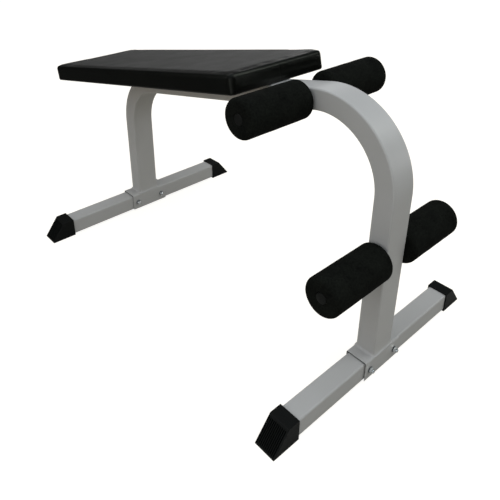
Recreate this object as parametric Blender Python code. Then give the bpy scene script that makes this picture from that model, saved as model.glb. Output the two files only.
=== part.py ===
"""A declined sit-up bench: one bent steel tube on two cross feet, a vinyl pad and four foam rollers.

The bench is modelled from the middle of its front upright: X runs forward, to the sitter's feet,
Z is up, and Y is across. The empty "bench" then moves the origin to the middle of the footprint.
"""
import math

import bmesh
import bpy
from mathutils import Euler, Matrix, Vector

for old_object in list(bpy.data.objects):
    bpy.data.objects.remove(old_object, do_unlink=True)

# Clearances between pieces that touch on the real bench
FIT_GAP = 0.0003
HOLE_PLAY = 0.0005

# Cross feet: square tube, with a wedge-shaped cap on each end
BASE_SPACING = 0.993
BASE_TUBE = 0.050
BASE_WALL = 0.002
BASE_EDGE = 0.005
BASE_TUBE_LENGTH = 0.624
CAP_WALL = 0.0028
CAP_SOLE = 0.0022
CAP_GRIP = 0.027
CAP_TOP_FLAT = 0.0325
CAP_LENGTH = 0.0735
CAP_LIP = 0.002
CAP_EDGE = 0.0012
RIB_COUNT = 11
RIB_GROOVE_WIDTH = 0.0020
RIB_GROOVE_DEPTH = 0.0010
RIB_MARGIN = 0.005

# Main tube: 70 mm across by 50 mm deep, bent twice with one die
TUBE_ACROSS = 0.070
TUBE_DEPTH = 0.050
TUBE_WALL = 0.002
TUBE_EDGE = 0.006
BEND_RADIUS = 0.170
FRONT_STRAIGHT_TOP = 0.460
DECLINE = math.radians(12.4)

# Saddles: folded plates that straddle the feet, with a weld round the foot of the main tube
SADDLE_PLATE = 0.0035
SADDLE_LENGTH = 0.130
SADDLE_EDGE = 0.005
SADDLE_BOLT_SPACING = 0.094
WELD_SIDE_LEG = 0.003
WELD_END_LEG = 0.006
WELD_HEIGHT = 0.005
WELD_ROOT = 0.003

# Roller bars, foam rollers and the plugs in the bar ends
BAR_DIAMETER = 0.025
BAR_WALL = 0.0015
ROLLER_DIAMETER = 0.090
ROLLER_LENGTH = 0.182
ROLLER_EDGE = 0.010
ROLLER_STANDOFF = 0.004
LOWER_BAR_HEIGHT = 0.321
LOWER_BAR_AHEAD = 0.005
UPPER_BAR_BACK = 0.032
BAR_SETBACK = 0.004
PLUG_HEAD = 0.003
PLUG_STEM = 0.018
PLUG_CHAMFER = 0.0008

# Pad: a board, a foam block and a vinyl cover that turns in under the board
PAD_SETBACK = 0.1246
PAD_LENGTH = 0.928
PAD_WIDTH = 0.304
PAD_THICKNESS = 0.049
PAD_CORNER = 0.014
PAD_TOP_EDGE = 0.010
PAD_BOTTOM_EDGE = 0.002
COVER_SKIN = 0.0012
COVER_HEM = 0.025
BOARD_THICKNESS = 0.012

# Bolts through each saddle and its foot
BASE_BOLT = 0.008
BASE_BOLT_FLATS = 0.013
BASE_BOLT_HEAD = 0.0053
BASE_NUT = 0.0065
BASE_BOLT_SPARE = 0.003
BASE_WASHER_DIAMETER = 0.016
BASE_WASHER = 0.0016

# Bolts through the beam, into tee nuts in the pad's board
PAD_BOLT = 0.008
PAD_BOLT_FLATS = 0.013
PAD_BOLT_HEAD = 0.0053
PAD_BOLT_COUNT = 3
PAD_BOLT_FIRST = 0.065
PAD_BOLT_PITCH = 0.205
PAD_WASHER_DIAMETER = 0.020
PAD_WASHER = 0.0016
TEE_FLANGE_DIAMETER = 0.022
TEE_FLANGE = 0.0015
TEE_BARREL_WALL = 0.001
TEE_BARREL_LENGTH = 0.008
BOLT_END_CHAMFER = 0.0008
HEX_CHAMFER = 0.0008

# Fineness of the curves
CORNER_STEPS = 3
FRONT_BEND_STEPS = 16
REAR_BEND_STEPS = 12
BAR_SIDES = 24
ROLLER_SIDES = 28
FASTENER_SIDES = 12
ROLLER_EDGE_STEPS = 3
PAD_CORNER_STEPS = 4
PAD_EDGE_STEPS = 3
SMOOTH_ANGLE = math.radians(32)
CUT_MARGIN = 0.010

# Heights and places that follow from the driving dimensions
base_bottom = CAP_SOLE + FIT_GAP
base_middle = base_bottom + BASE_TUBE / 2
base_top = base_bottom + BASE_TUBE
saddle_half_width = BASE_TUBE / 2 + FIT_GAP + SADDLE_PLATE
saddle_top = base_top + FIT_GAP + SADDLE_PLATE
tube_foot = saddle_top + FIT_GAP
cap_width = BASE_TUBE + 2 * (FIT_GAP + CAP_WALL)
cap_height = base_top + FIT_GAP + CAP_WALL
rear_straight_top = FRONT_STRAIGHT_TOP - (BASE_SPACING - 2 * BEND_RADIUS) * math.tan(DECLINE)
front_turn = math.pi / 2 + DECLINE
beam_start = Vector((
    BEND_RADIUS * (math.cos(front_turn) - 1),
    0,
    FRONT_STRAIGHT_TOP + BEND_RADIUS * math.sin(front_turn),
))
roller_radius = ROLLER_DIAMETER / 2
roller_start = TUBE_ACROSS / 2 + ROLLER_STANDOFF
roller_end = roller_start + ROLLER_LENGTH
bar_half_length = roller_end - BAR_SETBACK
pad_bottom = TUBE_DEPTH / 2 + FIT_GAP
pad_top = pad_bottom + PAD_THICKNESS
board_bottom = pad_bottom + COVER_SKIN + FIT_GAP
board_top = board_bottom + BOARD_THICKNESS
tee_barrel_radius = PAD_BOLT / 2 + FIT_GAP + TEE_BARREL_WALL

# The empties that carry the pieces
front_reach = LOWER_BAR_AHEAD + roller_radius
pad_end = PAD_SETBACK + PAD_LENGTH
rear_reach = (
    beam_start.x
    - (pad_end - PAD_TOP_EDGE) * math.cos(DECLINE)
    - (pad_top - PAD_TOP_EDGE) * math.sin(DECLINE)
    - PAD_TOP_EDGE
)


def add_empty(name, parent, location, rotation=(0, 0, 0)):
    """An empty that pieces are placed from."""
    empty = bpy.data.objects.new(name, None)
    bpy.context.collection.objects.link(empty)
    empty.parent = parent
    empty.location = location
    empty.rotation_euler = rotation
    return empty


bench = add_empty("bench", None, (-(front_reach + rear_reach) / 2, 0, 0))
beam = add_empty("beam", bench, beam_start, (0, -DECLINE, 0))


# Materials
def make_material(name, colour, roughness, metallic=0.0):
    """A Principled BSDF with one colour."""
    material = bpy.data.materials.new(name)
    material.use_nodes = True
    shader = material.node_tree.nodes["Principled BSDF"]
    shader.inputs["Base Color"].default_value = (*colour, 1)
    shader.inputs["Roughness"].default_value = roughness
    shader.inputs["Metallic"].default_value = metallic
    return material


powder_coat = make_material("silver_powder_coat", (0.42, 0.43, 0.43), 0.42)
zinc_plate = make_material("zinc_plated_steel", (0.62, 0.63, 0.65), 0.30, 1.0)
cap_plastic = make_material("black_polyethylene", (0.012, 0.012, 0.013), 0.55)
plug_plastic = make_material("black_nylon", (0.018, 0.019, 0.020), 0.45)
foam_rubber = make_material("black_foam_rubber", (0.008, 0.008, 0.009), 0.95)
vinyl = make_material("black_vinyl", (0.016, 0.017, 0.018), 0.38)
pad_foam_stuff = make_material("cream_foam", (0.75, 0.68, 0.48), 0.95)
plywood = make_material("birch_plywood", (0.55, 0.38, 0.20), 0.70)


# Outlines, as lists of (u, v) points that run anticlockwise
def circle(radius, sides):
    """A circle that has a point on its +u axis."""
    return [
        (radius * math.cos(2 * math.pi * side / sides), radius * math.sin(2 * math.pi * side / sides))
        for side in range(sides)
    ]


def hexagon(across_flats):
    """A hexagon with as many points as a fastener's circles, so that they can be joined."""
    outline = []
    for point in range(FASTENER_SIDES):
        angle = 2 * math.pi * point / FASTENER_SIDES
        from_flat = angle % (math.pi / 3) - math.pi / 6
        radius = across_flats / 2 / math.cos(from_flat)
        outline.append((radius * math.cos(angle), radius * math.sin(angle)))
    return outline


def rounded_rectangle(width, height, radius, steps=CORNER_STEPS):
    """A rectangle about the origin with round corners."""
    outline = []
    for corner in range(4):
        side_u = 1 if corner in (0, 3) else -1
        side_v = 1 if corner in (0, 1) else -1
        centre_u = side_u * (width / 2 - radius)
        centre_v = side_v * (height / 2 - radius)
        for step in range(steps + 1):
            angle = math.pi / 2 * (corner + step / steps)
            outline.append((centre_u + radius * math.cos(angle), centre_v + radius * math.sin(angle)))
    return outline


def shoulder(inset, top, radius, steps=PAD_EDGE_STEPS):
    """The (inset, height) points of a round upper edge, from the wall up to the flat."""
    points = []
    for step in range(steps + 1):
        angle = math.pi / 2 * step / steps
        points.append((inset + radius * (1 - math.cos(angle)), top - radius * (1 - math.sin(angle))))
    return points


# Solids
def skin_loops(bm, loops, ring=False):
    """Join loops of points into one body: capped at both ends, or closed on itself as a ring."""
    vertex_loops = [[bm.verts.new(point) for point in loop] for loop in loops]
    pairs = list(zip(vertex_loops, vertex_loops[1:]))
    if ring:
        pairs.append((vertex_loops[-1], vertex_loops[0]))
    else:
        bm.faces.new(reversed(vertex_loops[0]))
        bm.faces.new(vertex_loops[-1])
    for lower, upper in pairs:
        count = len(lower)
        for index in range(count):
            after = (index + 1) % count
            bm.faces.new((lower[index], lower[after], upper[after], upper[index]))


def stack_z(outlines):
    """Loops from (outline, height) pairs, one above the other."""
    return [[(u, v, height) for u, v in outline] for outline, height in outlines]


def stack_y(outlines):
    """Loops from (outline, place) pairs, one beside the other along Y."""
    return [[(u, place, v) for u, v in outline] for outline, place in outlines]


def make_mesh(name, bm, material):
    """Turn the bmesh into a mesh, with its faces outward and its round faces smooth."""
    bmesh.ops.recalc_face_normals(bm, faces=bm.faces)
    mesh = bpy.data.meshes.new(name)
    bm.to_mesh(mesh)
    bm.free()
    mesh.shade_smooth()
    mesh.set_sharp_from_angle(angle=SMOOTH_ANGLE)
    if material:
        mesh.materials.append(material)
    return mesh


def place_mesh(name, mesh, parent, location=(0, 0, 0), rotation=(0, 0, 0)):
    """A named object that shows the mesh in its parent's frame."""
    piece = bpy.data.objects.new(name, mesh)
    bpy.context.collection.objects.link(piece)
    piece.parent = parent
    piece.location = location
    piece.rotation_euler = rotation
    return piece


def add_piece(name, bm, material, parent, location=(0, 0, 0), rotation=(0, 0, 0)):
    """A named object made from the bmesh."""
    return place_mesh(name, make_mesh(name, bm, material), parent, location, rotation)


def combine(piece, tool, operation="DIFFERENCE"):
    """Cut the tool out of the piece, or add it, and hide the tool."""
    tool.hide_render = True
    tool.display_type = "WIRE"
    boolean = piece.modifiers.new(operation.lower(), "BOOLEAN")
    boolean.operation = operation
    boolean.solver = "EXACT"
    boolean.object = tool


def bore_out(piece, name, profile, sides, parent, places, rotation=(0, 0, 0)):
    """Cut one stepped round hole at each place, from (radius, height) points along its axis."""
    bm = bmesh.new()
    for place in places:
        turn = Matrix.Translation(place) @ Euler(rotation).to_matrix().to_4x4()
        loops = stack_z([(circle(radius, sides), height) for radius, height in profile])
        skin_loops(bm, [[turn @ Vector(point) for point in loop] for loop in loops])
    combine(piece, add_piece(name, bm, None, parent))


def drill(piece, name, radius, depth, sides, parent, places, rotation=(0, 0, 0)):
    """Drill plain round holes, each centred on its place."""
    bore_out(piece, name, [(radius, -depth / 2), (radius, depth / 2)], sides, parent, places, rotation)


ALONG_X = (0, math.pi / 2, 0)
ALONG_Y = (math.pi / 2, 0, 0)
HANDS = (("left", 1), ("right", -1))
saddle_bolt_places = {hand: (0, side * SADDLE_BOLT_SPACING / 2, base_middle) for hand, side in HANDS}
bar_places = {
    "upper": (beam, (-UPPER_BAR_BACK, 0, 0)),
    "lower": (bench, (LOWER_BAR_AHEAD, 0, LOWER_BAR_HEIGHT)),
}
pad_bolt_places = {
    number + 1: (-(PAD_SETBACK + PAD_BOLT_FIRST + number * PAD_BOLT_PITCH), 0, 0)
    for number in range(PAD_BOLT_COUNT)
}


# Main tube
def tube_stations():
    """The tube's centreline from the front foot to the rear one, as (x, z, turn) from straight up."""
    stations = [(0, tube_foot, 0)]
    for step in range(FRONT_BEND_STEPS + 1):
        turn = front_turn * step / FRONT_BEND_STEPS
        stations.append((
            BEND_RADIUS * (math.cos(turn) - 1),
            FRONT_STRAIGHT_TOP + BEND_RADIUS * math.sin(turn),
            turn,
        ))
    for step in range(REAR_BEND_STEPS + 1):
        turn = front_turn + (math.pi - front_turn) * step / REAR_BEND_STEPS
        stations.append((
            BEND_RADIUS * (math.cos(turn) + 1) - BASE_SPACING,
            rear_straight_top + BEND_RADIUS * math.sin(turn),
            turn,
        ))
    stations.append((-BASE_SPACING, tube_foot, math.pi))
    return stations


def tube_loop(station, inset):
    """The tube's section at a station, inset by a wall or by nothing."""
    x, z, turn = station
    outline = rounded_rectangle(TUBE_DEPTH - 2 * inset, TUBE_ACROSS - 2 * inset, TUBE_EDGE - inset)
    return [(x + out * math.cos(turn), across, z + out * math.sin(turn)) for out, across in outline]


def make_main_tube():
    """One hollow tube from foot to foot, with holes for the roller bars and the pad bolts."""
    stations = tube_stations()
    bm = bmesh.new()
    outside = [tube_loop(station, 0) for station in stations]
    inside = [tube_loop(station, TUBE_WALL) for station in reversed(stations)]
    skin_loops(bm, outside + inside, ring=True)
    tube = add_piece("main_tube", bm, powder_coat, bench)
    for level, (parent, place) in bar_places.items():
        drill(tube, f"{level}_bar_hole", BAR_DIAMETER / 2 + FIT_GAP, TUBE_ACROSS + CUT_MARGIN,
              BAR_SIDES, parent, [place], ALONG_Y)
    drill(tube, "pad_bolt_holes", PAD_BOLT / 2 + HOLE_PLAY, TUBE_DEPTH + CUT_MARGIN,
          FASTENER_SIDES, beam, pad_bolt_places.values())


# Cross feet
def make_base_tube(name, x):
    """A square tube across the bench, with holes for the saddle bolts."""
    tube_end = BASE_TUBE_LENGTH / 2
    outside = rounded_rectangle(BASE_TUBE, BASE_TUBE, BASE_EDGE)
    bore = BASE_TUBE - 2 * BASE_WALL
    inside = rounded_rectangle(bore, bore, BASE_EDGE - BASE_WALL)
    bm = bmesh.new()
    skin_loops(bm, stack_y([
        (outside, -tube_end), (outside, tube_end), (inside, tube_end), (inside, -tube_end),
    ]), ring=True)
    bmesh.ops.translate(bm, verts=bm.verts, vec=(0, 0, base_middle))
    tube = add_piece(name, bm, powder_coat, bench, (x, 0, 0))
    drill(tube, name + "_holes", BASE_BOLT / 2 + HOLE_PLAY, BASE_TUBE + CUT_MARGIN,
          FASTENER_SIDES, tube, saddle_bolt_places.values(), ALONG_X)


def saddle_outline():
    """The inverted U of a saddle, in X and Z."""
    inner_half = saddle_half_width - SADDLE_PLATE
    inner_edge = SADDLE_EDGE - SADDLE_PLATE
    right = [(saddle_half_width, base_bottom)]
    for step in range(CORNER_STEPS + 1):
        angle = math.pi / 2 * step / CORNER_STEPS
        right.append((
            saddle_half_width - SADDLE_EDGE * (1 - math.cos(angle)),
            saddle_top - SADDLE_EDGE * (1 - math.sin(angle)),
        ))
    under = [(inner_half, base_bottom)]
    for step in range(CORNER_STEPS + 1):
        angle = math.pi / 2 * step / CORNER_STEPS
        under.append((
            inner_half - inner_edge * (1 - math.cos(angle)),
            saddle_top - SADDLE_PLATE - inner_edge * (1 - math.sin(angle)),
        ))
    left = [(-x, z) for x, z in reversed(right)]
    under_left = [(-x, z) for x, z in under]
    return right + left + under_left + list(reversed(under))


def make_saddle(name, x):
    """A folded plate over the foot, with the weld that joins it to the main tube."""
    plate_end = SADDLE_LENGTH / 2
    bm = bmesh.new()
    skin_loops(bm, stack_y([(saddle_outline(), -plate_end), (saddle_outline(), plate_end)]))
    saddle = add_piece(name, bm, powder_coat, bench, (x, 0, 0))
    hole = rounded_rectangle(TUBE_DEPTH + 2 * FIT_GAP, TUBE_ACROSS + 2 * FIT_GAP, TUBE_EDGE + FIT_GAP)
    toe = rounded_rectangle(
        TUBE_DEPTH + 2 * (FIT_GAP + WELD_SIDE_LEG),
        TUBE_ACROSS + 2 * (FIT_GAP + WELD_END_LEG),
        TUBE_EDGE + FIT_GAP + WELD_SIDE_LEG,
    )
    root = saddle_top - WELD_ROOT
    bm = bmesh.new()
    skin_loops(bm, stack_z([
        (hole, root), (hole, saddle_top + WELD_HEIGHT), (toe, saddle_top), (toe, root),
    ]), ring=True)
    combine(saddle, add_piece(name + "_weld", bm, powder_coat, saddle), "UNION")
    drill(saddle, name + "_holes", BASE_BOLT / 2 + HOLE_PLAY, 2 * saddle_half_width + CUT_MARGIN,
          FASTENER_SIDES, saddle, saddle_bolt_places.values(), ALONG_X)


# End caps, drawn from the cap's mouth outwards along Y
def slope_at(height, inset=0.0):
    """How far out the cap's sloping nose is at a height, or a wall's thickness inside it."""
    run = CAP_LENGTH - CAP_TOP_FLAT
    drop = cap_height - CAP_LIP
    along = inset * math.hypot(run, drop) / drop
    return CAP_TOP_FLAT + run * (cap_height - height) / drop - along


def extruded_x(points, width):
    """A solid from (y, z) points, extruded along X about the middle."""
    bm = bmesh.new()
    skin_loops(bm, [[(side * width / 2, y, z) for y, z in points] for side in (-1, 1)])
    return bm


def make_cap(name, x, side):
    """A hollow wedge-shaped cap that sleeves over the end of a foot, with grooves down its nose."""
    mouth = BASE_TUBE_LENGTH / 2 - CAP_GRIP
    bm = extruded_x([
        (0, 0), (CAP_LENGTH, 0), (CAP_LENGTH, CAP_LIP), (CAP_TOP_FLAT, cap_height), (0, cap_height),
    ], cap_width)
    turned = (0, 0, 0) if side > 0 else (0, 0, math.pi)
    cap = add_piece(name, bm, cap_plastic, bench, (x, side * mouth, 0), turned)
    edges = cap.modifiers.new("edges", "BEVEL")
    edges.width = CAP_EDGE
    edges.segments = 2

    tube_space = BASE_TUBE + 2 * FIT_GAP
    depth = CAP_GRIP + FIT_GAP
    low = CAP_SOLE
    high = base_top + FIT_GAP
    bm = extruded_x([(-CUT_MARGIN, low), (depth, low), (depth, high), (-CUT_MARGIN, high)], tube_space)
    combine(cap, add_piece(name + "_socket", bm, None, cap))

    low = base_bottom + BASE_WALL
    high = base_top - BASE_WALL
    start = CAP_GRIP - CAP_EDGE
    bm = extruded_x([
        (start, low), (slope_at(low, CAP_WALL), low), (slope_at(high, CAP_WALL), high), (start, high),
    ], BASE_TUBE - 2 * BASE_WALL)
    combine(cap, add_piece(name + "_hollow", bm, None, cap))

    bm = bmesh.new()
    pitch = cap_width / RIB_COUNT
    top = cap_height - RIB_MARGIN
    for groove in range(RIB_COUNT - 1):
        middle = (groove + 1) * pitch - cap_width / 2
        left, right = middle - RIB_GROOVE_WIDTH / 2, middle + RIB_GROOVE_WIDTH / 2
        skin_loops(bm, [
            [
                (left, slope_at(height, -CUT_MARGIN), height),
                (right, slope_at(height, -CUT_MARGIN), height),
                (right, slope_at(height, RIB_GROOVE_DEPTH), height),
                (left, slope_at(height, RIB_GROOVE_DEPTH), height),
            ]
            for height in (-CUT_MARGIN, top)
        ])
    combine(cap, add_piece(name + "_grooves", bm, None, cap))


# Rollers
def make_bar(name, parent, location):
    """A round steel tube through the main tube."""
    outside = circle(BAR_DIAMETER / 2, BAR_SIDES)
    inside = circle(BAR_DIAMETER / 2 - BAR_WALL, BAR_SIDES)
    bm = bmesh.new()
    skin_loops(bm, stack_y([
        (outside, -bar_half_length), (outside, bar_half_length),
        (inside, bar_half_length), (inside, -bar_half_length),
    ]), ring=True)
    add_piece(name, bm, powder_coat, parent, location)


def make_roller(name, parent, location, side):
    """A foam sleeve with round edges, on its bar's axis."""
    edge = shoulder(-roller_radius, ROLLER_LENGTH / 2, ROLLER_EDGE, ROLLER_EDGE_STEPS)
    profile = [(-inset, reach) for inset, reach in edge]
    bore = BAR_DIAMETER / 2 + FIT_GAP
    profile = [(radius, -reach) for radius, reach in reversed(profile)] + profile
    profile = [(bore, -ROLLER_LENGTH / 2)] + profile + [(bore, ROLLER_LENGTH / 2)]
    bm = bmesh.new()
    loops = stack_y([(circle(radius, ROLLER_SIDES), place) for radius, place in profile])
    skin_loops(bm, loops, ring=True)
    middle = Vector((0, side * (roller_start + roller_end) / 2, 0))
    add_piece(name, bm, foam_rubber, parent, Vector(location) + middle)


def make_plug(name, parent, location, side):
    """A plug with a stem in the bar's end and a head as wide as the bar."""
    stem = BAR_DIAMETER / 2 - BAR_WALL - FIT_GAP
    head = BAR_DIAMETER / 2
    profile = [
        (stem - PLUG_CHAMFER, -PLUG_STEM),
        (stem, PLUG_CHAMFER - PLUG_STEM),
        (stem, FIT_GAP),
        (head, FIT_GAP),
        (head, FIT_GAP + PLUG_HEAD - PLUG_CHAMFER),
        (head - PLUG_CHAMFER, FIT_GAP + PLUG_HEAD),
    ]
    bm = bmesh.new()
    skin_loops(bm, stack_y([(circle(radius, BAR_SIDES), side * place) for radius, place in profile]))
    end = Vector((0, side * bar_half_length, 0))
    add_piece(name, bm, plug_plastic, parent, Vector(location) + end)


def make_rollers(level, parent, location):
    """A bar with its two foam rollers and two plugs."""
    make_bar(level + "_roller_bar", parent, location)
    for hand, side in HANDS:
        make_roller(f"{level}_{hand}_roller", parent, location, side)
        make_plug(f"{level}_{hand}_plug", parent, location, side)


# Pad, drawn along the beam
def pad_outline(inset):
    """The pad's plan, inset all round."""
    corner = max(PAD_CORNER - inset, FIT_GAP)
    plan = rounded_rectangle(PAD_LENGTH - 2 * inset, PAD_WIDTH - 2 * inset, corner, PAD_CORNER_STEPS)
    return [(x - PAD_SETBACK - PAD_LENGTH / 2, y) for x, y in plan]


def pad_solid(profile):
    """A body from (inset, height) points, each a plan of the pad at that height."""
    bm = bmesh.new()
    skin_loops(bm, stack_z([(pad_outline(inset), height) for inset, height in profile]))
    return bm


def make_cover():
    """The vinyl: over the top and sides, and turned in under the board."""
    lining = shoulder(COVER_SKIN, pad_top - COVER_SKIN, PAD_TOP_EDGE - COVER_SKIN)
    profile = list(reversed(lining)) + [
        (COVER_SKIN, pad_bottom + COVER_SKIN),
        (COVER_HEM, pad_bottom + COVER_SKIN),
        (COVER_HEM, pad_bottom),
        (PAD_BOTTOM_EDGE, pad_bottom),
        (0, pad_bottom + PAD_BOTTOM_EDGE),
    ] + shoulder(0, pad_top, PAD_TOP_EDGE)
    add_piece("pad_cover", pad_solid(profile), vinyl, beam)


def make_filling():
    """The foam block and the board under it, with a stepped hole for each tee nut."""
    inset = COVER_SKIN + FIT_GAP
    under_corner = inset + PAD_BOTTOM_EDGE
    foam = [(inset, board_top + FIT_GAP)] + shoulder(inset, pad_top - inset, PAD_TOP_EDGE - inset)
    add_piece("pad_foam", pad_solid(foam), pad_foam_stuff, beam)
    board = add_piece("pad_board", pad_solid([(under_corner, board_bottom), (under_corner, board_top)]),
                      plywood, beam)
    barrel = tee_barrel_radius + HOLE_PLAY
    flange = TEE_FLANGE_DIAMETER / 2 + HOLE_PLAY
    seat = board_top - TEE_FLANGE - 2 * FIT_GAP
    bore_out(board, "tee_nut_holes", [
        (barrel, board_bottom - CUT_MARGIN),
        (barrel, seat),
        (flange, seat),
        (flange, board_top + CUT_MARGIN),
    ], FASTENER_SIDES, beam, pad_bolt_places.values())


# Fasteners, each drawn along its own Z from the middle of what it clamps
def fastener_circle(diameter):
    """A circle of a fastener's diameter."""
    return circle(diameter / 2, FASTENER_SIDES)


def bolt_mesh(name, diameter, flats, head, under_head, tip):
    """A hexagon bolt, from its head's underside up to its tip."""
    bm = bmesh.new()
    skin_loops(bm, stack_z([
        (fastener_circle(flats - HEX_CHAMFER), under_head - head),
        (hexagon(flats), under_head - head + HEX_CHAMFER),
        (hexagon(flats), under_head),
        (fastener_circle(diameter), under_head),
        (fastener_circle(diameter), tip - BOLT_END_CHAMFER),
        (fastener_circle(diameter - 2 * BOLT_END_CHAMFER), tip),
    ]))
    return make_mesh(name, bm, zinc_plate)


def turned_ring_mesh(name, bore, profile):
    """A ring about a bore, such as a washer or a nut, from (outline, height) points up its outside."""
    hole = fastener_circle(bore)
    bm = bmesh.new()
    skin_loops(bm, stack_z([(hole, profile[0][1])] + profile + [(hole, profile[-1][1])]), ring=True)
    return make_mesh(name, bm, zinc_plate)


def washer_mesh(name, bore, diameter, low, high):
    """A flat washer between two heights."""
    rim = fastener_circle(diameter)
    return turned_ring_mesh(name, bore, [(rim, low), (rim, high)])


def nut_mesh(name, bore, flats, low, high):
    """A hexagon nut, chamfered on both faces."""
    face = fastener_circle(flats - HEX_CHAMFER)
    side = hexagon(flats)
    return turned_ring_mesh(name, bore, [
        (face, low), (side, low + HEX_CHAMFER), (side, high - HEX_CHAMFER), (face, high),
    ])


def make_base_fasteners():
    """Two bolts across each saddle, heads at the back and nuts at the front."""
    seat = saddle_half_width + FIT_GAP
    face = seat + BASE_WASHER + FIT_GAP
    bore = BASE_BOLT + 2 * FIT_GAP
    tip = face + BASE_NUT + BASE_BOLT_SPARE
    meshes = {
        "bolt": bolt_mesh("base_bolt", BASE_BOLT, BASE_BOLT_FLATS, BASE_BOLT_HEAD, -face, tip),
        "head_washer": washer_mesh(
            "head_washer", bore, BASE_WASHER_DIAMETER, -seat - BASE_WASHER, -seat,
        ),
        "nut_washer": washer_mesh(
            "nut_washer", bore, BASE_WASHER_DIAMETER, seat, seat + BASE_WASHER,
        ),
        "nut": nut_mesh("base_nut", bore, BASE_BOLT_FLATS, face, face + BASE_NUT),
    }
    for foot, x in feet.items():
        for hand, place in saddle_bolt_places.items():
            for kind, mesh in meshes.items():
                location = Vector(place) + Vector((x, 0, 0))
                place_mesh(f"{foot}_{hand}_{kind}", mesh, bench, location, ALONG_X)


def make_pad_fasteners():
    """Bolts from under the beam, into tee nuts that are let into the top of the board."""
    seat = -TUBE_DEPTH / 2 - FIT_GAP
    under_head = seat - PAD_WASHER - FIT_GAP
    bore = PAD_BOLT + 2 * FIT_GAP
    barrel = fastener_circle(2 * tee_barrel_radius)
    flange = fastener_circle(TEE_FLANGE_DIAMETER)
    flange_top = board_top - FIT_GAP
    flange_low = flange_top - TEE_FLANGE
    meshes = {
        "pad_bolt": bolt_mesh(
            "pad_bolt", PAD_BOLT, PAD_BOLT_FLATS, PAD_BOLT_HEAD, under_head, flange_top,
        ),
        "pad_washer": washer_mesh("pad_washer", bore, PAD_WASHER_DIAMETER, seat - PAD_WASHER, seat),
        "pad_tee_nut": turned_ring_mesh("pad_tee_nut", bore, [
            (barrel, flange_low - TEE_BARREL_LENGTH), (barrel, flange_low),
            (flange, flange_low), (flange, flange_top),
        ]),
    }
    for number, place in pad_bolt_places.items():
        for kind, mesh in meshes.items():
            place_mesh(f"{kind}_{number}", mesh, beam, place)


make_main_tube()
feet = {"front": 0, "rear": -BASE_SPACING}
for foot, foot_x in feet.items():
    make_base_tube(f"{foot}_base_tube", foot_x)
    make_saddle(f"{foot}_saddle", foot_x)
    for hand, side in HANDS:
        make_cap(f"{foot}_{hand}_cap", foot_x, side)
make_base_fasteners()
for level, (parent, place) in bar_places.items():
    make_rollers(level, parent, place)
make_cover()
make_filling()
make_pad_fasteners()
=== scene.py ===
# %% [markdown]
# # Dressing a declined sit-up bench
# The bench is one steel tube, bent twice, that stands on two cross feet. A long vinyl pad is bolted to its
# sloping middle, and four foam rollers hold the sitter's knees and ankles.
# The solids that carry and join everything are loaded first, as a fixed frame. This script then builds a
# finer surface over each one, so that every piece stays exactly where the solid says.

# %% Load the solids
import math

import bmesh
import bpy
import numpy as np
from mathutils import Euler, Matrix, Vector, noise
from mathutils.bvhtree import BVHTree


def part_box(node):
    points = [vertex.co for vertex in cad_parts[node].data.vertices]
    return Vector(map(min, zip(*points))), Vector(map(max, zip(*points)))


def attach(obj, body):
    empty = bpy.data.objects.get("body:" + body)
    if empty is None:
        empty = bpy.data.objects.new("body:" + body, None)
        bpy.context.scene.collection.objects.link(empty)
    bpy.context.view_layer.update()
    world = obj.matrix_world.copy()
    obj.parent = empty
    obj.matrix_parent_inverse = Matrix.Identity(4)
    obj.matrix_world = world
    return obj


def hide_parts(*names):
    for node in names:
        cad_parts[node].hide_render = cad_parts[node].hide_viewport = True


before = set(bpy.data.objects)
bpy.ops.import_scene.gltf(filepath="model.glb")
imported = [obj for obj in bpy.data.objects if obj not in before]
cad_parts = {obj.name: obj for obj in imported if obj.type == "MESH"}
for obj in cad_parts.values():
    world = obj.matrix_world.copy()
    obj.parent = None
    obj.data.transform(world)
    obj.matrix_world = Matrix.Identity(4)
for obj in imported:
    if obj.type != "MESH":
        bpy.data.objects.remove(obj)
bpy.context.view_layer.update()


# %% [markdown]
# ## Where things are
# A slanted piece has a box that says little, so the slope and the bend radius of the tube are written
# down here, and the beam gets a frame of its own: its X axis runs down the slope to the head end as
# negative numbers, and its Z axis stands square to the pad. Left and right are the sitter's, and left is
# towards +Y.

# %% Measure the solids
BEND_RADIUS = 0.170
FRONT_STRAIGHT_TOP = 0.460
DECLINE = math.radians(12.4)
TUBE_DEPTH = 0.050
HANDS = {"left": 1, "right": -1}


def middle(node):
    """The middle of a solid's box."""
    low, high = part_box(node)
    return (low + high) / 2


def extent(node):
    """The size of a solid's box."""
    low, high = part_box(node)
    return high - low


foot_x = {foot: middle(f"{foot}_base_tube").x for foot in ("front", "rear")}
base_height = middle("front_base_tube").z
tube_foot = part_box("main_tube")[0].z
tube_across = extent("main_tube").y
front_turn = math.pi / 2 + DECLINE
beam_start = Vector((
    foot_x["front"] + BEND_RADIUS * (math.cos(front_turn) - 1),
    0,
    FRONT_STRAIGHT_TOP + BEND_RADIUS * math.sin(front_turn),
))
beam = Matrix.Translation(beam_start) @ Euler((0, -DECLINE, 0)).to_matrix().to_4x4()
into_beam = beam.inverted()
print("feet at x", foot_x, "beam starts at", tuple(round(v, 4) for v in beam_start))


# %% [markdown]
# ## The camera
# The photograph was taken from the front right, above the height of the rollers, and then cropped off
# centre. The crop is why the lens has a shift. A camera looks along its own -Z axis with +Y up, so its
# three axes are worked out from the direction that it looks in.

# %% Make the camera
CAMERA_FROM_FRONT_FOOT = Vector((0.5395, -0.8968, 1.0593))
CAMERA_YAW = math.radians(137.02)
CAMERA_PITCH = math.radians(-25.73)
CAMERA_ROLL = 0.0123
PICTURE = 500
FOCAL_PIXELS = 562.57
CENTRE_PIXEL = (254.9, 145.75)
SENSOR_MM = 36

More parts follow.
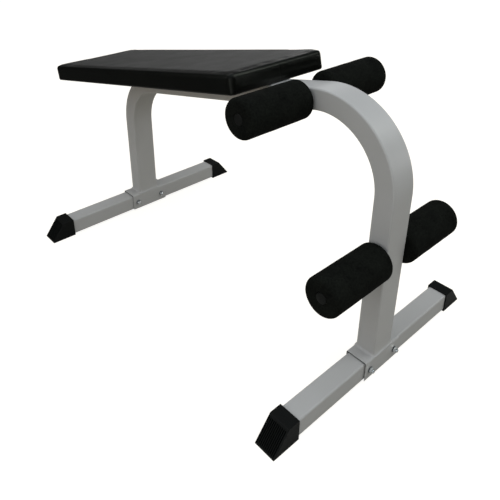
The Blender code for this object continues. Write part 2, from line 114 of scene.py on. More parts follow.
look = Vector((
    math.cos(CAMERA_PITCH) * math.cos(CAMERA_YAW),
    math.cos(CAMERA_PITCH) * math.sin(CAMERA_YAW),
    math.sin(CAMERA_PITCH),
))
sideways = look.cross(Vector((0, 0, 1))).normalized()
upwards = sideways.cross(look)
camera_x = math.cos(CAMERA_ROLL) * sideways + math.sin(CAMERA_ROLL) * upwards
camera_y = math.cos(CAMERA_ROLL) * upwards - math.sin(CAMERA_ROLL) * sideways
camera = bpy.data.objects.new("camera", bpy.data.cameras.new("camera"))
bpy.context.scene.collection.objects.link(camera)
camera_place = Vector((foot_x["front"], 0, 0)) + CAMERA_FROM_FRONT_FOOT
camera.matrix_world = (Matrix.Translation(camera_place)
                       @ Matrix((camera_x, camera_y, -look)).transposed().to_4x4())
camera.data.sensor_width = SENSOR_MM
camera.data.lens = SENSOR_MM * FOCAL_PIXELS / PICTURE
camera.data.shift_x = (PICTURE / 2 - CENTRE_PIXEL[0]) / PICTURE
camera.data.shift_y = (CENTRE_PIXEL[1] - PICTURE / 2) / PICTURE
bpy.context.scene.camera = camera
print(f"lens {camera.data.lens:.1f} mm, shift {camera.data.shift_x:.3f}, {camera.data.shift_y:.3f}")


# %% [markdown]
# ## Colours and shader nodes
# Colours are written as they look on a screen, in sRGB hex. A renderer adds up light, so one function turns
# each of them into linear values. Another adds one shader node with its settings and links, which keeps
# every material below short enough to read as a recipe. In a Mix node, input 0 is the factor, 2 and 3 are
# its two values, and 6 and 7 its two colours. A roughness that a pattern drives still gets a plain value
# first, for viewers that can't draw the pattern.
# Nearly every material here has a pattern in its colour and a fine relief, so a last function lays both on.

# %% Colour and node helpers
MM = 0.001


def linear(colour):
    """Linear RGBA from an sRGB hex colour."""
    channels = [int(colour[start:start + 2], 16) / 255 for start in (1, 3, 5)]
    return (*[c / 12.92 if c <= 0.04045 else ((c + 0.055) / 1.055) ** 2.4 for c in channels], 1)


def add_node(tree, kind, inputs=(), **settings):
    """Add a shader node. Inputs maps each socket to a value or to another node's output."""
    made = tree.nodes.new("ShaderNode" + kind)
    for name, value in settings.items():
        setattr(made, name, value)
    for socket, value in dict(inputs).items():
        if isinstance(value, bpy.types.NodeSocket):
            tree.links.new(value, made.inputs[socket])
        else:
            made.inputs[socket].default_value = value
    return made


def start_material(name, **values):
    """A material, its tree, its Principled shader with these values, and the place on the surface."""
    material = bpy.data.materials.new(name)
    material.use_nodes = True
    tree = material.node_tree
    shader = tree.nodes["Principled BSDF"]
    for socket, value in values.items():
        shader.inputs[socket.replace("_", " ")].default_value = value
    return material, tree, shader, add_node(tree, "TexCoord").outputs["Object"]


def lay_on(tree, shader, pattern, dark, pale, relief=None, strength=0.0, depth=0.0, span=(0.0, 1.0)):
    """Tint the surface from dark to pale by a pattern, and raise a relief on it."""
    tint = add_node(tree, "ValToRGB", {"Fac": pattern})
    for stop, colour, position in zip(tint.color_ramp.elements, (dark, pale), span):
        stop.color = colour
        stop.position = position
    tree.links.new(tint.outputs["Color"], shader.inputs["Base Color"])
    if relief is not None:
        bump = add_node(tree, "Bump", {"Height": relief, "Strength": strength, "Distance": depth})
        tree.links.new(bump.outputs["Normal"], shader.inputs["Normal"])


print("mid grey on a screen is", round(linear("#808080")[0], 3), "in linear light")


# %% [markdown]
# ## Powder coat on steel
# The frame is sprayed with dry silver-grey powder and baked, which melts it to a skin about 0.08 mm thick.
# It levels out less than wet paint, so the surface keeps a faint orange peel with bumps a few millimetres
# apart, and highlights are broad. The real bumps are 1 to 2 mm apart, too fine for this picture, so they
# are drawn at 3 mm. A slow, pale mottle breaks up the large flat faces.

# %% Powder coat
PEEL_SPACING = 3 * MM
PAINT_MOTTLE = 90 * MM


def make_powder_coat():
    """Satin grey paint with a little orange peel."""
    material, tree, shader, place = start_material("silver_powder_coated_steel", Roughness=0.42, IOR=1.5)
    mottle = add_node(tree, "TexNoise", {"Vector": place, "Scale": 1 / PAINT_MOTTLE, "Detail": 3})
    peel = add_node(tree, "TexNoise", {"Vector": place, "Scale": 1 / PEEL_SPACING, "Detail": 2})
    lay_on(tree, shader, mottle.outputs["Fac"], linear("#A4A5A4"), linear("#ABACAC"),
           relief=peel.outputs["Fac"], strength=0.12, depth=0.2 * MM)
    return material


powder_coat = make_powder_coat()
print("made", powder_coat.name)


# %% [markdown]
# ## Zinc plate on steel
# Nuts, bolts and washers are cold-formed steel with a thin bright zinc plate. Plating follows the grain of
# the steel, so the shine has fine streaks and is a little bluish. The real streaks are 0.3 mm apart and are
# drawn at 1.2 mm. The washers get a darker, duller zinc. Its darkness is painted shade, which puts a dark
# ring of shade round each bright nut. A metal keeps the default IOR.

# %% Zinc plate
STREAK_SPACING = 1.2 * MM


def make_zinc(name, colour, dullest):
    """Zinc with an uneven shine, twice as sharp in its brightest streaks as in its dullest."""
    material, tree, shader, place = start_material(
        name, Metallic=1.0, Roughness=dullest, Base_Color=linear(colour))
    streak = add_node(tree, "TexNoise", {"Vector": place, "Scale": 1 / STREAK_SPACING, "Detail": 3})
    shine = add_node(tree, "MapRange", {
        "Value": streak.outputs["Fac"], "To Min": dullest / 2, "To Max": dullest,
    })
    tree.links.new(shine.outputs["Result"], shader.inputs["Roughness"])
    bump = add_node(tree, "Bump", {"Height": streak.outputs["Fac"], "Strength": 0.2, "Distance": 0.05 * MM})
    tree.links.new(bump.outputs["Normal"], shader.inputs["Normal"])
    return material


zinc_plate = make_zinc("zinc_plated_steel", "#E4E9EC", 0.18)
# The washers' darker colour is painted shade: a dark ring round each nut.
shaded_washer_zinc = make_zinc("washer_zinc_with_painted_shade", "#7A8084", 0.36)
print("made", zinc_plate.name, "and", shaded_washer_zinc.name)


# %% [markdown]
# ## Moulded plastics
# The end caps are polyethylene, and the plugs in the bar ends are nylon. Both are injection moulded in
# tools that were etched by sparks, which leaves a fine matt grain. Its real pits are 0.1 mm across; they
# are drawn at 0.8 mm so that the picture can hold them. One function makes both, because only the numbers
# differ.

# %% Plastics
SPARK_GRAIN = 0.8 * MM
FLOW_MARKS = 25 * MM
FLOW_SHADE = 0.2


def make_moulded(name, colour, ior, specular):
    """Black moulded plastic with a spark-etched grain and faint flow marks."""
    material, tree, shader, place = start_material(
        name, Roughness=0.5, IOR=ior, Specular_IOR_Level=specular)
    grain = add_node(tree, "TexNoise", {"Vector": place, "Scale": 1 / SPARK_GRAIN, "Detail": 2})
    flow = add_node(tree, "TexNoise", {"Vector": place, "Scale": 1 / FLOW_MARKS, "Detail": 2})
    dark, pale = ((*[share * channel for channel in linear(colour)[:3]], 1)
                  for share in (1 - FLOW_SHADE, 1 + FLOW_SHADE))
    lay_on(tree, shader, flow.outputs["Fac"], dark, pale,
           relief=grain.outputs["Fac"], strength=0.25, depth=0.05 * MM)
    return material


cap_plastic = make_moulded("moulded_polyethylene", "#0B0E0D", 1.51, 0.14)
plug_plastic = make_moulded("moulded_nylon", "#121412", 1.53, 0.18)
print("made", cap_plastic.name, "and", plug_plastic.name)


# %% [markdown]
# ## Foam rubber
# The rollers are closed-cell nitrile foam, extruded as a sleeve. Millions of tiny cut cells trap light, so
# the foam is nearly black and has almost no shine. Cells are 0.3 mm across and are drawn at 1.2 mm, as
# shallow pits. Where the cut went a little deeper, patches of cells look darker or paler. In the real foam
# they are 1 to 2 mm wide, and they are drawn at 4 mm, over a slower cloud from handling.

# %% Foam rubber
CELL_SPACING = 1.2 * MM
PATCH_SPACING = 4 * MM
HANDLING_CLOUD = 35 * MM
PATCH_SHARE = 0.6


def make_foam_rubber():
    """Matt black foam with small pits and a speckle of darker and paler cells."""
    material, tree, shader, place = start_material(
        "closed_cell_foam_rubber", Roughness=0.9, IOR=1.45, Specular_IOR_Level=0.09)
    cells = add_node(tree, "TexVoronoi", {"Vector": place, "Scale": 1 / CELL_SPACING})
    cloud = add_node(tree, "TexNoise", {"Vector": place, "Scale": 1 / HANDLING_CLOUD, "Detail": 4})
    patches = add_node(tree, "TexNoise", {"Vector": place, "Scale": 1 / PATCH_SPACING, "Detail": 3})
    both = add_node(tree, "Mix", {0: PATCH_SHARE, 2: cloud.outputs["Fac"], 3: patches.outputs["Fac"]})
    lay_on(tree, shader, both.outputs[0], linear("#020302"), linear("#151814"),
           relief=cells.outputs["Distance"], strength=0.35, depth=0.2 * MM, span=(0.3, 0.7))
    return material


foam_rubber = make_foam_rubber()
print("made", foam_rubber.name)


# %% [markdown]
# ## Vinyl
# The pad is covered with PVC on a knitted backing, embossed by a hot roller to look like leather. The grain
# is a net of creases about 1 mm apart, drawn at 1.6 mm. The flat of each pebble is smooth, so the cover has
# a soft sheen where it is seen at a low angle.

# %% Vinyl
PEBBLE_SPACING = 1.6 * MM
CREASE_SHARE = 0.12
WEAR_CLOUD = 60 * MM


def make_vinyl():
    """Black embossed vinyl, a little smoother where it was rubbed."""
    material, tree, shader, place = start_material(
        "embossed_black_vinyl", Roughness=0.45, IOR=1.5,
        Specular_IOR_Level=0.22, Specular_Tint=linear("#F8FFF3"))
    pebbles = add_node(tree, "TexVoronoi", {"Vector": place, "Scale": 1 / PEBBLE_SPACING},
                       feature="DISTANCE_TO_EDGE")
    crease = add_node(tree, "MapRange", {"Value": pebbles.outputs["Distance"], "From Max": CREASE_SHARE})
    wear = add_node(tree, "TexNoise", {"Vector": place, "Scale": 1 / WEAR_CLOUD, "Detail": 4})
    lay_on(tree, shader, wear.outputs["Fac"], linear("#050605"), linear("#080907"),
           relief=crease.outputs["Result"], strength=0.25, depth=0.1 * MM)
    shine = add_node(tree, "MapRange", {"Value": wear.outputs["Fac"], "To Min": 0.29, "To Max": 0.42})
    tree.links.new(shine.outputs["Result"], shader.inputs["Roughness"])
    return material


vinyl = make_vinyl()
print("made", vinyl.name)


# %% [markdown]
# ## What is inside the pad
# A birch plywood board gives the pad its stiffness, and its underside shows between the folded edges of the
# vinyl. Its face grain runs along the bench. The foam block is out of sight, but it still gets its own
# open-cell foam. The board lies on the slope, so its grain pattern is turned by the same angle.

# %% Plywood and cushion foam
GRAIN_WIDTH = 3 * MM
GRAIN_LENGTH = 120 * MM
OPEN_CELL = 1.5 * MM


def make_plywood():
    """Birch face veneer with long, thin grain."""
    material, tree, shader, place = start_material("birch_plywood", Roughness=0.7, IOR=1.5)
    on_slope = add_node(tree, "Mapping", {"Vector": place, "Rotation": (0, DECLINE, 0)})
    stretched = add_node(tree, "Mapping", {
        "Vector": on_slope.outputs["Vector"], "Scale": (1 / GRAIN_LENGTH, 1 / GRAIN_WIDTH, 1 / GRAIN_WIDTH),
    })
    grain = add_node(tree, "TexNoise", {"Vector": stretched.outputs["Vector"], "Scale": 1, "Detail": 5})
    lay_on(tree, shader, grain.outputs["Fac"], linear("#A97F52"), linear("#D6B486"),
           relief=grain.outputs["Fac"], strength=0.2, depth=0.1 * MM)
    return material


def make_cushion_foam():
    """Cream open-cell foam, with painted shade inside its cells."""
    material, tree, shader, place = start_material("open_cell_foam", Roughness=0.95, IOR=1.45)
    cells = add_node(tree, "TexVoronoi", {"Vector": place, "Scale": 1 / OPEN_CELL})
    # The darker colour in the cells is painted shade.
    lay_on(tree, shader, cells.outputs["Distance"], linear("#E6DCBA"), linear("#CDBF93"))
    return material


plywood = make_plywood()
cushion_foam = make_cushion_foam()
print("materials:", sorted(material.name for material in bpy.data.materials))


# %% [markdown]
# ## Skinning loops of points
# Nearly every piece of this bench is a section carried along a line: a tube, a bar, a sleeve. So one
# function joins loops of points with faces. As a ring it closes back on its first loop, which gives a pipe
# its wall; otherwise both ends are capped. The others make an object of them, make modifiers permanent,
# cut one shape with another, and dress the finished piece. Weighted normals let a flat face stay flat to
# the eye beside its small rounded edges. A piece rides on the body that it moves with, and replaces the
# solids that it stands for.

# %% Mesh helpers
SMOOTH_ANGLE = math.radians(35)


def skin(bm, loops, ring=False):
    """Join loops of points into one body."""
    rows = [[bm.verts.new(point) for point in loop] for loop in loops]
    pairs = list(zip(rows, rows[1:]))
    if ring:
        pairs.append((rows[-1], rows[0]))
    else:
        bm.faces.new(reversed(rows[0]))
        bm.faces.new(rows[-1])
    for near, far in pairs:
        for index in range(len(near)):
            after = (index + 1) % len(near)
            bm.faces.new((near[index], near[after], far[after], far[index]))


def new_object(name, bm):
    """An object from the bmesh, with its faces outward."""
    bmesh.ops.recalc_face_normals(bm, faces=bm.faces)
    mesh = bpy.data.meshes.new(name)
    bm.to_mesh(mesh)
    bm.free()
    shape = bpy.data.objects.new(name, mesh)
    bpy.context.scene.collection.objects.link(shape)
    return shape


def new_body(name, loops, ring=False):
    """An object with one body, skinned over loops of points."""
    bm = bmesh.new()
    skin(bm, loops, ring)
    return new_object(name, bm)


def settle(shape):
    """Make the evaluated shape the object's own mesh, with no modifiers left."""
    bpy.context.view_layer.update()
    evaluated = shape.evaluated_get(bpy.context.evaluated_depsgraph_get())
    mesh = bpy.data.meshes.new_from_object(evaluated)
    shape.modifiers.clear()
    shape.data = mesh


def cut(shape, tool, operation="DIFFERENCE"):
    """Take the tool's shape out of the object, or with INTERSECT keep only what lies inside it."""
    boolean = shape.modifiers.new("cut", "BOOLEAN")
    boolean.operation = operation
    boolean.solver = "EXACT"
    boolean.object = tool
    settle(shape)
    bpy.data.objects.remove(tool)


def dress(shape, material, stands_for=(), body="frame", angle=SMOOTH_ANGLE, weighted=True):
    """Finish a piece: its shading, material, body and the solids it stands for."""
    shape.data.shade_smooth()
    shape.data.set_sharp_from_angle(angle=angle)
    shape.data.materials.clear()
    shape.data.materials.append(material)
    if weighted:
        normals = shape.modifiers.new("flat faces stay flat", "WEIGHTED_NORMAL")
        normals.keep_sharp = True
    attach(shape, body)
    if stands_for:
        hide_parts(*stands_for)
    return shape


print("edges sharper than", round(math.degrees(SMOOTH_ANGLE)), "degrees stay crisp")


# %% [markdown]
# ## Sections
# A circle and a rectangle with round corners are the only sections needed. Both run anticlockwise, and both
# always give the same number of points for the same settings, so an inner wall can be joined to an outer
# one. A drill is a plain cylinder, longer than what it goes through, so that no face of it lies on the
# surface.

# %% Section outlines
def quarter(steps):
    """The angles of a quarter turn in equal steps."""
    return [math.pi / 2 * step / steps for step in range(steps + 1)]


def circle(radius, sides):
    """Points round a circle."""
    turns = [2 * math.pi * side / sides for side in range(sides)]
    return [(radius * math.cos(turn), radius * math.sin(turn)) for turn in turns]


def rounded_rectangle(width, height, radius, steps=8):
    """Points round a rectangle with round corners."""
    outline = []
    for corner, (side_u, side_v) in enumerate(((1, 1), (-1, 1), (-1, -1), (1, -1))):
        for step in range(steps + 1):
            angle = math.pi / 2 * (corner + step / steps)
            outline.append((
                side_u * (width / 2 - radius) + radius * math.cos(angle),
                side_v * (height / 2 - radius) + radius * math.sin(angle),
            ))
    return outline


def round_tool(radius, length, place, direction, sides=48):
    """A cylinder for drilling, centred on a place."""
    turn = Matrix.Translation(place) @ Vector(direction).to_track_quat("Z", "Y").to_matrix().to_4x4()
    return new_body("drill", [
        [turn @ Vector((u, v, side * length / 2)) for u, v in circle(radius, sides)] for side in (-1, 1)
    ])


print("a rounded rectangle has", len(rounded_rectangle(TUBE_DEPTH, tube_across, TUBE_DEPTH / 10)), "points")


# %% [markdown]
# ## The main tube
# A 70 by 50 mm steel tube with 2 mm walls is bent cold round a former, twice, so that its two ends point
# down. The section is carried along the centreline in small turns. The tube's long edges are rounded by
# about twice the wall, as rolled tube has them, and catch a thin line of light. The bars and the pad's bolts
# pass through drilled holes, so those are cut with a Boolean, as they would be with a drill.

# %% Main tube
TUBE_WALL = 0.002
TUBE_EDGE = 0.0042
FIT_GAP = 0.0003
FRONT_BEND_STEPS = 72
REAR_BEND_STEPS = 56
BOLT_HOLE = 0.0045
BOLT_HOLE_SIDES = 24
PAD_BOLTS = (1, 2, 3)

spacing = foot_x["front"] - foot_x["rear"]
rear_straight_top = FRONT_STRAIGHT_TOP - (spacing - 2 * BEND_RADIUS) * math.tan(DECLINE)
bar_radius = extent("lower_roller_bar").x / 2
bar_places = {level: middle(f"{level}_roller_bar") for level in ("upper", "lower")}


def tube_stations():
    """The centreline as (x, z, turn), from the front foot to the rear one."""
    bends = (
        (foot_x["front"] - BEND_RADIUS, FRONT_STRAIGHT_TOP, 0, front_turn, FRONT_BEND_STEPS),
        (foot_x["rear"] + BEND_RADIUS, rear_straight_top, front_turn, math.pi, REAR_BEND_STEPS),
    )
    stations = [(foot_x["front"], tube_foot, 0)]
    for x, z, start, end, steps in bends:
        for turn in (start + (end - start) * step / steps for step in range(steps + 1)):
            stations.append((x + BEND_RADIUS * math.cos(turn), z + BEND_RADIUS * math.sin(turn), turn))
    stations.append((foot_x["rear"], tube_foot, math.pi))
    return stations


def tube_section(station, inset):
    """The tube's section at a station, at the outside or inset by the wall."""
    x, z, turn = station
    outline = rounded_rectangle(TUBE_DEPTH - 2 * inset, tube_across - 2 * inset, TUBE_EDGE - inset)
    return [(x + out * math.cos(turn), across, z + out * math.sin(turn)) for out, across in outline]


def make_main_tube():
    """The bent tube with its drilled holes."""
    stations = tube_stations()
    outside = [tube_section(station, 0) for station in stations]
    inside = [tube_section(station, TUBE_WALL) for station in reversed(stations)]
    tube = new_body("bent_main_tube", outside + inside, ring=True)
    for place in bar_places.values():
        cut(tube, round_tool(bar_radius + FIT_GAP, 2 * tube_across, place, (0, 1, 0)))
    square = beam.to_3x3() @ Vector((0, 0, 1))
    for number in PAD_BOLTS:
        place = beam @ Vector(((into_beam @ middle(f"pad_bolt_{number}")).x, 0, 0))
        cut(tube, round_tool(BOLT_HOLE, 2 * TUBE_DEPTH, place, square, BOLT_HOLE_SIDES))
    return dress(tube, powder_coat, ["main_tube"])


main_tube = make_main_tube()
print("main tube:", len(main_tube.data.polygons), "faces")


# %% [markdown]
# ## The cross feet
# Each foot is a length of 50 mm square tube, laid across the bench. The two bolts of the saddle go right
# through it, so foot and saddle are drilled alike, by one function. Its section is the same kind of rounded
# square as the main tube's, inset by the wall for the inside.

# %% Cross feet
FOOT_EDGE = 0.005

foot_width = extent("front_base_tube").x
foot_length = extent("front_base_tube").y
bolt_places = {(foot, hand): middle(f"{foot}_{hand}_nut") for foot in foot_x for hand in HANDS}


def drill_for_bolts(shape, foot):
    """Drill the two holes for the bolts of a foot."""
    for hand in HANDS:
        place = Vector((foot_x[foot], bolt_places[foot, hand].y, base_height))
        cut(shape, round_tool(BOLT_HOLE, 2 * foot_width, place, (1, 0, 0), BOLT_HOLE_SIDES))


def make_foot(foot):
    """A square tube with holes for its two bolts."""
    loops = []
    for inset, side in ((0, -1), (0, 1), (TUBE_WALL, 1), (TUBE_WALL, -1)):
        outline = rounded_rectangle(foot_width - 2 * inset, foot_width - 2 * inset, FOOT_EDGE - inset)
        loops.append([(foot_x[foot] + u, side * foot_length / 2, base_height + v) for u, v in outline])
    tube = new_body(f"{foot}_cross_foot", loops, ring=True)
    drill_for_bolts(tube, foot)
    return dress(tube, powder_coat, [f"{foot}_base_tube"])


cross_feet = [make_foot(foot) for foot in foot_x]
print("cross feet:", len(cross_feet), "of", round(foot_width, 3), "by", round(foot_length, 3))


# %% [markdown]
# ## The saddles
# A saddle is a steel plate folded over the foot like an upside-down U, and the end of the main tube is
# welded on top. Folding leaves round outer corners, and cutting leaves sharp ends that the paint softens,
# so the plate gets a small bevel. At both ends its inside is ground open by 2 mm: paint never fills that
# gap between plate and foot, which shows as a thin dark line.

# %% Saddles
SADDLE_PLATE = 0.0035
SADDLE_EDGE = 0.005
SADDLE_BEVEL = 0.0006
MOUTH_HEIGHT = 0.0020
MOUTH_DEPTH = 0.006
FOLD_STEPS = 8
SHARP_EDGE = math.radians(50)


def saddle_section(foot, opened=0.0):
    """The inverted U of a saddle, in X and Z. Its inside can be opened a little, for the deburred ends."""
    low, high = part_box(f"{foot}_saddle")
    bottom, half_width = low.z, extent(f"{foot}_saddle").x / 2
    top = tube_foot - FIT_GAP
    inner_width, inner_top = half_width - SADDLE_PLATE + opened, top - SADDLE_PLATE + opened
    inner_edge = SADDLE_EDGE - SADDLE_PLATE
    outer = [(half_width, bottom)]
    inner = [(inner_width, bottom)]
    for angle in quarter(FOLD_STEPS):
        across, up = 1 - math.cos(angle), 1 - math.sin(angle)
        outer.append((half_width - SADDLE_EDGE * across, top - SADDLE_EDGE * up))
        inner.append((inner_width - inner_edge * across, inner_top - inner_edge * up))
    right = outer + [(-x, z) for x, z in reversed(outer)]
    return right + [(-x, z) for x, z in inner] + list(reversed(inner))


def make_saddle(foot):
    """The folded plate with its bolt holes."""
    end = extent(f"{foot}_saddle").y / 2
    mouth = end - MOUTH_DEPTH
    plain, opened = saddle_section(foot), saddle_section(foot, MOUTH_HEIGHT)
    plate = new_body(f"{foot}_saddle_plate", [
        [(foot_x[foot] + x, y, z) for x, z in section]
        for y, section in ((-end, opened), (-mouth, plain), (mouth, plain), (end, opened))
    ])
    bevel = plate.modifiers.new("painted edges", "BEVEL")
    bevel.width = SADDLE_BEVEL
    bevel.segments = 3
    bevel.angle_limit = SHARP_EDGE
    settle(plate)
    drill_for_bolts(plate, foot)
    return dress(plate, powder_coat, [f"{foot}_saddle"])


saddles = [make_saddle(foot) for foot in foot_x]
print("saddles:", [len(saddle.data.polygons) for saddle in saddles], "faces")


# %% [markdown]
# ## The weld beads
# The weld is a cove that runs round the foot of the tube. A welder adds one drop after the next, so its
# height and width rise and fall every few millimetres, and more slowly with the welder's hand. A sine for
# the drops and two slower ones for the hand do this without any random numbers. A wave of the hand is a
# share of the bead's size, radians per metre, and a start. On the two sides where the saddle is hardly wider
# than the tube, the bead climbs higher than it reaches out.

# %% Weld beads
WELD_WIDTH = {"side": 0.0040, "end": 0.0060}
WELD_HEIGHT = {"side": 0.0090, "end": 0.0055}
WELD_PITCH = 0.0042
WELD_RIPPLE = 0.05
HAND_WAVES = ((0.08, 47, 0), (0.05, 113, 1))
WELD_SINK = 0.0006
WELD_ROWS = 7
WELD_POINTS_PER_DROP = 6
WELD_CORNER_STEPS = 12


def along_outline(outline, spacing_along):
    """Evenly spaced (point, outward normal, distance) round a closed outline."""
    points = [Vector(point) for point in outline]
    edges = [(points[i], points[(i + 1) % len(points)]) for i in range(len(points))]
    total = sum((b - a).length for a, b in edges)
    count = round(total / spacing_along)
    found, start = [], 0.0
    for a, b in edges:
        length = (b - a).length
        while len(found) < count and len(found) * total / count < start + length:
            share = (len(found) * total / count - start) / length
            out = Vector(((b - a).y, (a - b).x)).normalized()
            found.append((a.lerp(b, share), out, len(found) * total / count))
        start += length
    return found


def make_weld(foot):
    """A rippled cove round the foot of the main tube: tall and narrow at its sides, wide at its ends."""
    outline = rounded_rectangle(TUBE_DEPTH, tube_across, TUBE_EDGE, WELD_CORNER_STEPS)
    plate_top = tube_foot - FIT_GAP
    loops = [[] for row in range(WELD_ROWS + 2)]
    for point, out, distance in along_outline(outline, WELD_PITCH / WELD_POINTS_PER_DROP):
        drop = 1 + WELD_RIPPLE * math.sin(2 * math.pi * distance / WELD_PITCH)
        hand = 1 + sum(share * math.sin(distance * rate + start) for share, rate, start in HAND_WAVES)
        at_end = out.y ** 2
        width, height = (drop * hand * (size["side"] * (1 - at_end) + size["end"] * at_end)
                         for size in (WELD_WIDTH, WELD_HEIGHT))
        rows = [(width * (1 - math.cos(angle)), height * (1 - math.sin(angle)))
                for angle in quarter(WELD_ROWS - 1)]
        for row, (away, up) in enumerate(rows + [(width, -WELD_SINK), (-WELD_SINK, -WELD_SINK)]):
            place = point + out * away
            loops[row].append((foot_x[foot] + place.x, place.y, plate_top + up))
    bead = new_body(f"{foot}_weld_bead", loops, ring=True)
    return dress(bead, powder_coat, weighted=False, angle=math.radians(60))


weld_beads = [make_weld(foot) for foot in foot_x]
print("weld beads:", [len(bead.data.polygons) for bead in weld_beads], "faces")


# %% [markdown]
# ## The end caps
# A cap is a hollow wedge that is pushed over the end of a foot. Its sloping nose has a row of ribs, so that
# a shoe can roll the bench without slipping. The block is cut from its side view, its edges are rounded as
# a mould must have them, and the grooves between the ribs are cut last, so that their edges stay crisp.

# %% End caps
CAP_TOP_FLAT = 0.0325
CAP_LIP = 0.002
CAP_EDGE = 0.0012
CAP_BROW = 0.003
BROW_STEPS = 6
CAP_CHEEK = 0.0025
RIB_PITCHES = 12
GROOVE_WIDTH = 0.0029
GROOVE_FLOOR = 0.0025
GROOVE_DEPTH = 0.0045
RIB_MARGIN = 0.0040
TOOL_MARGIN = 0.010

cap_size = extent("front_left_cap")
cap_grip = foot_length / 2 - (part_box("front_left_cap")[1].y - cap_size.y)


def nose_at(height, inset=0.0):
    """How far out the sloping nose is at a height, or inside it by an inset."""
    run, drop = cap_size.y - CAP_TOP_FLAT, cap_size.z - CAP_LIP
    return CAP_TOP_FLAT + run * (cap_size.z - height) / drop - inset * math.hypot(run, drop) / drop


def brow():
    """The round edge between a cap's flat top and its nose, as (y, z) points from the nose up."""
    tilt = math.atan2(cap_size.z - CAP_LIP, cap_size.y - CAP_TOP_FLAT)
    centre_y = CAP_TOP_FLAT - CAP_BROW * math.tan(tilt / 2)
    angles = [tilt * (1 - step / BROW_STEPS) for step in range(BROW_STEPS + 1)]
    return [(centre_y + CAP_BROW * math.sin(angle), cap_size.z - CAP_BROW * (1 - math.cos(angle)))
            for angle in angles]


def extrude_x(name, points, width, place, side):
    """A solid from (y, z) points, extruded along X. The y values run outwards from the cap's mouth."""
    return new_body(name, [
        [(place.x + end * width / 2, side * (place.y + y), z) for y, z in points] for end in (-1, 1)
    ])


def nose_bar(mouth, side):
    """A thick bar along the nose. Its round edges are those between the nose and the cap's sides."""
    reach = 2 * cap_size.y
    down = Vector((0, side * (cap_size.y - CAP_TOP_FLAT), CAP_LIP - cap_size.z)).normalized()
    inwards = Vector((0, side * down.z, -side * down.y))
    middle_of_nose = Vector((mouth.x, side * (mouth.y + nose_at(cap_size.z / 2)), cap_size.z / 2))
    return new_body("nose_bar", [
        [middle_of_nose + down * along + Vector((u, 0, 0)) + inwards * (reach + v)
         for u, v in rounded_rectangle(cap_size.x, 2 * reach, CAP_CHEEK)]
        for along in (-reach, reach)
    ])


def rib_grooves(mouth, side):
    """The grooves between the ribs, as one cutting tool. Each is a little narrower at its floor."""
    bm = bmesh.new()
    half_floor, half_top = GROOVE_FLOOR / 2, GROOVE_WIDTH - GROOVE_FLOOR / 2
    for groove in range(1, RIB_PITCHES):
        centre = mouth.x + cap_size.x * (groove / RIB_PITCHES - 1 / 2)
        loops = []
        for height in (RIB_MARGIN, cap_size.z - RIB_MARGIN):
            top, floor = nose_at(height, -GROOVE_DEPTH), nose_at(height, GROOVE_DEPTH)
            loops.append([
                (centre + u, side * (mouth.y + y), height)
                for u, y in ((-half_top, top), (half_top, top), (half_floor, floor), (-half_floor, floor))
            ])
        skin(bm, loops)
    return new_object("grooves", bm)


def make_cap(foot, hand, side):
    """A wedge with a socket for the foot, and ribs down its nose."""
    mouth = Vector((foot_x[foot], foot_length / 2 - cap_grip, 0))
    side_view = [(0, 0), (cap_size.y, 0), (cap_size.y, CAP_LIP), *brow(), (0, cap_size.z)]
    cap = extrude_x(f"{foot}_{hand}_end_cap", side_view, cap_size.x, mouth, side)
    cut(cap, nose_bar(mouth, side), "INTERSECT")
    edges = cap.modifiers.new("moulded edges", "BEVEL")
    edges.width = CAP_EDGE
    edges.segments = 4
    settle(cap)
    low, high = base_height - foot_width / 2 - FIT_GAP, base_height + foot_width / 2 + FIT_GAP
    depth = cap_grip + FIT_GAP
    socket = [(-TOOL_MARGIN, low), (depth, low), (depth, high), (-TOOL_MARGIN, high)]
    cut(cap, extrude_x("socket", socket, foot_width + 2 * FIT_GAP, mouth, side))
    cut(cap, rib_grooves(mouth, side))
    return dress(cap, cap_plastic, [f"{foot}_{hand}_cap"])


end_caps = [make_cap(foot, hand, side) for foot in foot_x for hand, side in HANDS.items()]
print("end caps:", [len(cap.data.polygons) for cap in end_caps], "faces")


# %% [markdown]
# ## The bars
# Two plain round tubes go through the main tube, and each carries two rollers. A shape that is round about
# an axis needs only half its section: one function turns such a profile about the Y axis, and it serves the
# rollers and the plugs too.

# %% Bars
BAR_WALL = 0.0015
BAR_SIDES = 64


def turned(name, profile, place, sides, ring=False, side=1, ripple=None):
    """A body turned about the Y axis, from (radius, y) points. Side -1 mirrors it."""
    loops = []
    for radius, y in profile:
        loop = []
        for u, v in circle(1.0, sides):
            grown = radius + (ripple(u, v, y, radius) if ripple else 0)
            loop.append((place.x + grown * u, place.y + side * y, place.z + grown * v))
        loops.append(loop)
    return new_body(name, loops, ring)


def make_bar(level):
    """A round tube across the main tube."""
    half = extent(f"{level}_roller_bar").y / 2
    inner = bar_radius - BAR_WALL
    profile = [(bar_radius, -half), (bar_radius, half), (inner, half), (inner, -half)]
    bar = turned(f"{level}_round_bar", profile, bar_places[level], BAR_SIDES, ring=True)
    return dress(bar, powder_coat, [f"{level}_roller_bar"])


bars = [make_bar(level) for level in bar_places]
print("bars:", len(bars), "of radius", round(bar_radius, 4))


# %% [markdown]
# ## The foam rollers
# All four rollers slide onto the bars. Each sleeve is cut from a long foam tube and its ends are ground
# round. The knife drags the end face a little hollow, and the bore's edge crumbles soft. Foam takes small
# dents in its box, so a little smooth noise is added to the radius. Each roller reads the noise in another
# place, so no two are alike. They ride on bodies of their own and turn about their bars.

# %% Foam rollers
ROLLER_SIDES = 112
ROLLER_EDGE = 0.010
ROLLER_ROWS = 44
EDGE_ROWS = 10
FACE_ROWS = 6
BORE_EDGE = 0.0022
BORE_LIP = 0.3 * BORE_EDGE
END_DISH = 0.0012
DENT_SIZE = 0.030
DENT_DEPTH = 0.00035
NEXT_DENTS = 7.3


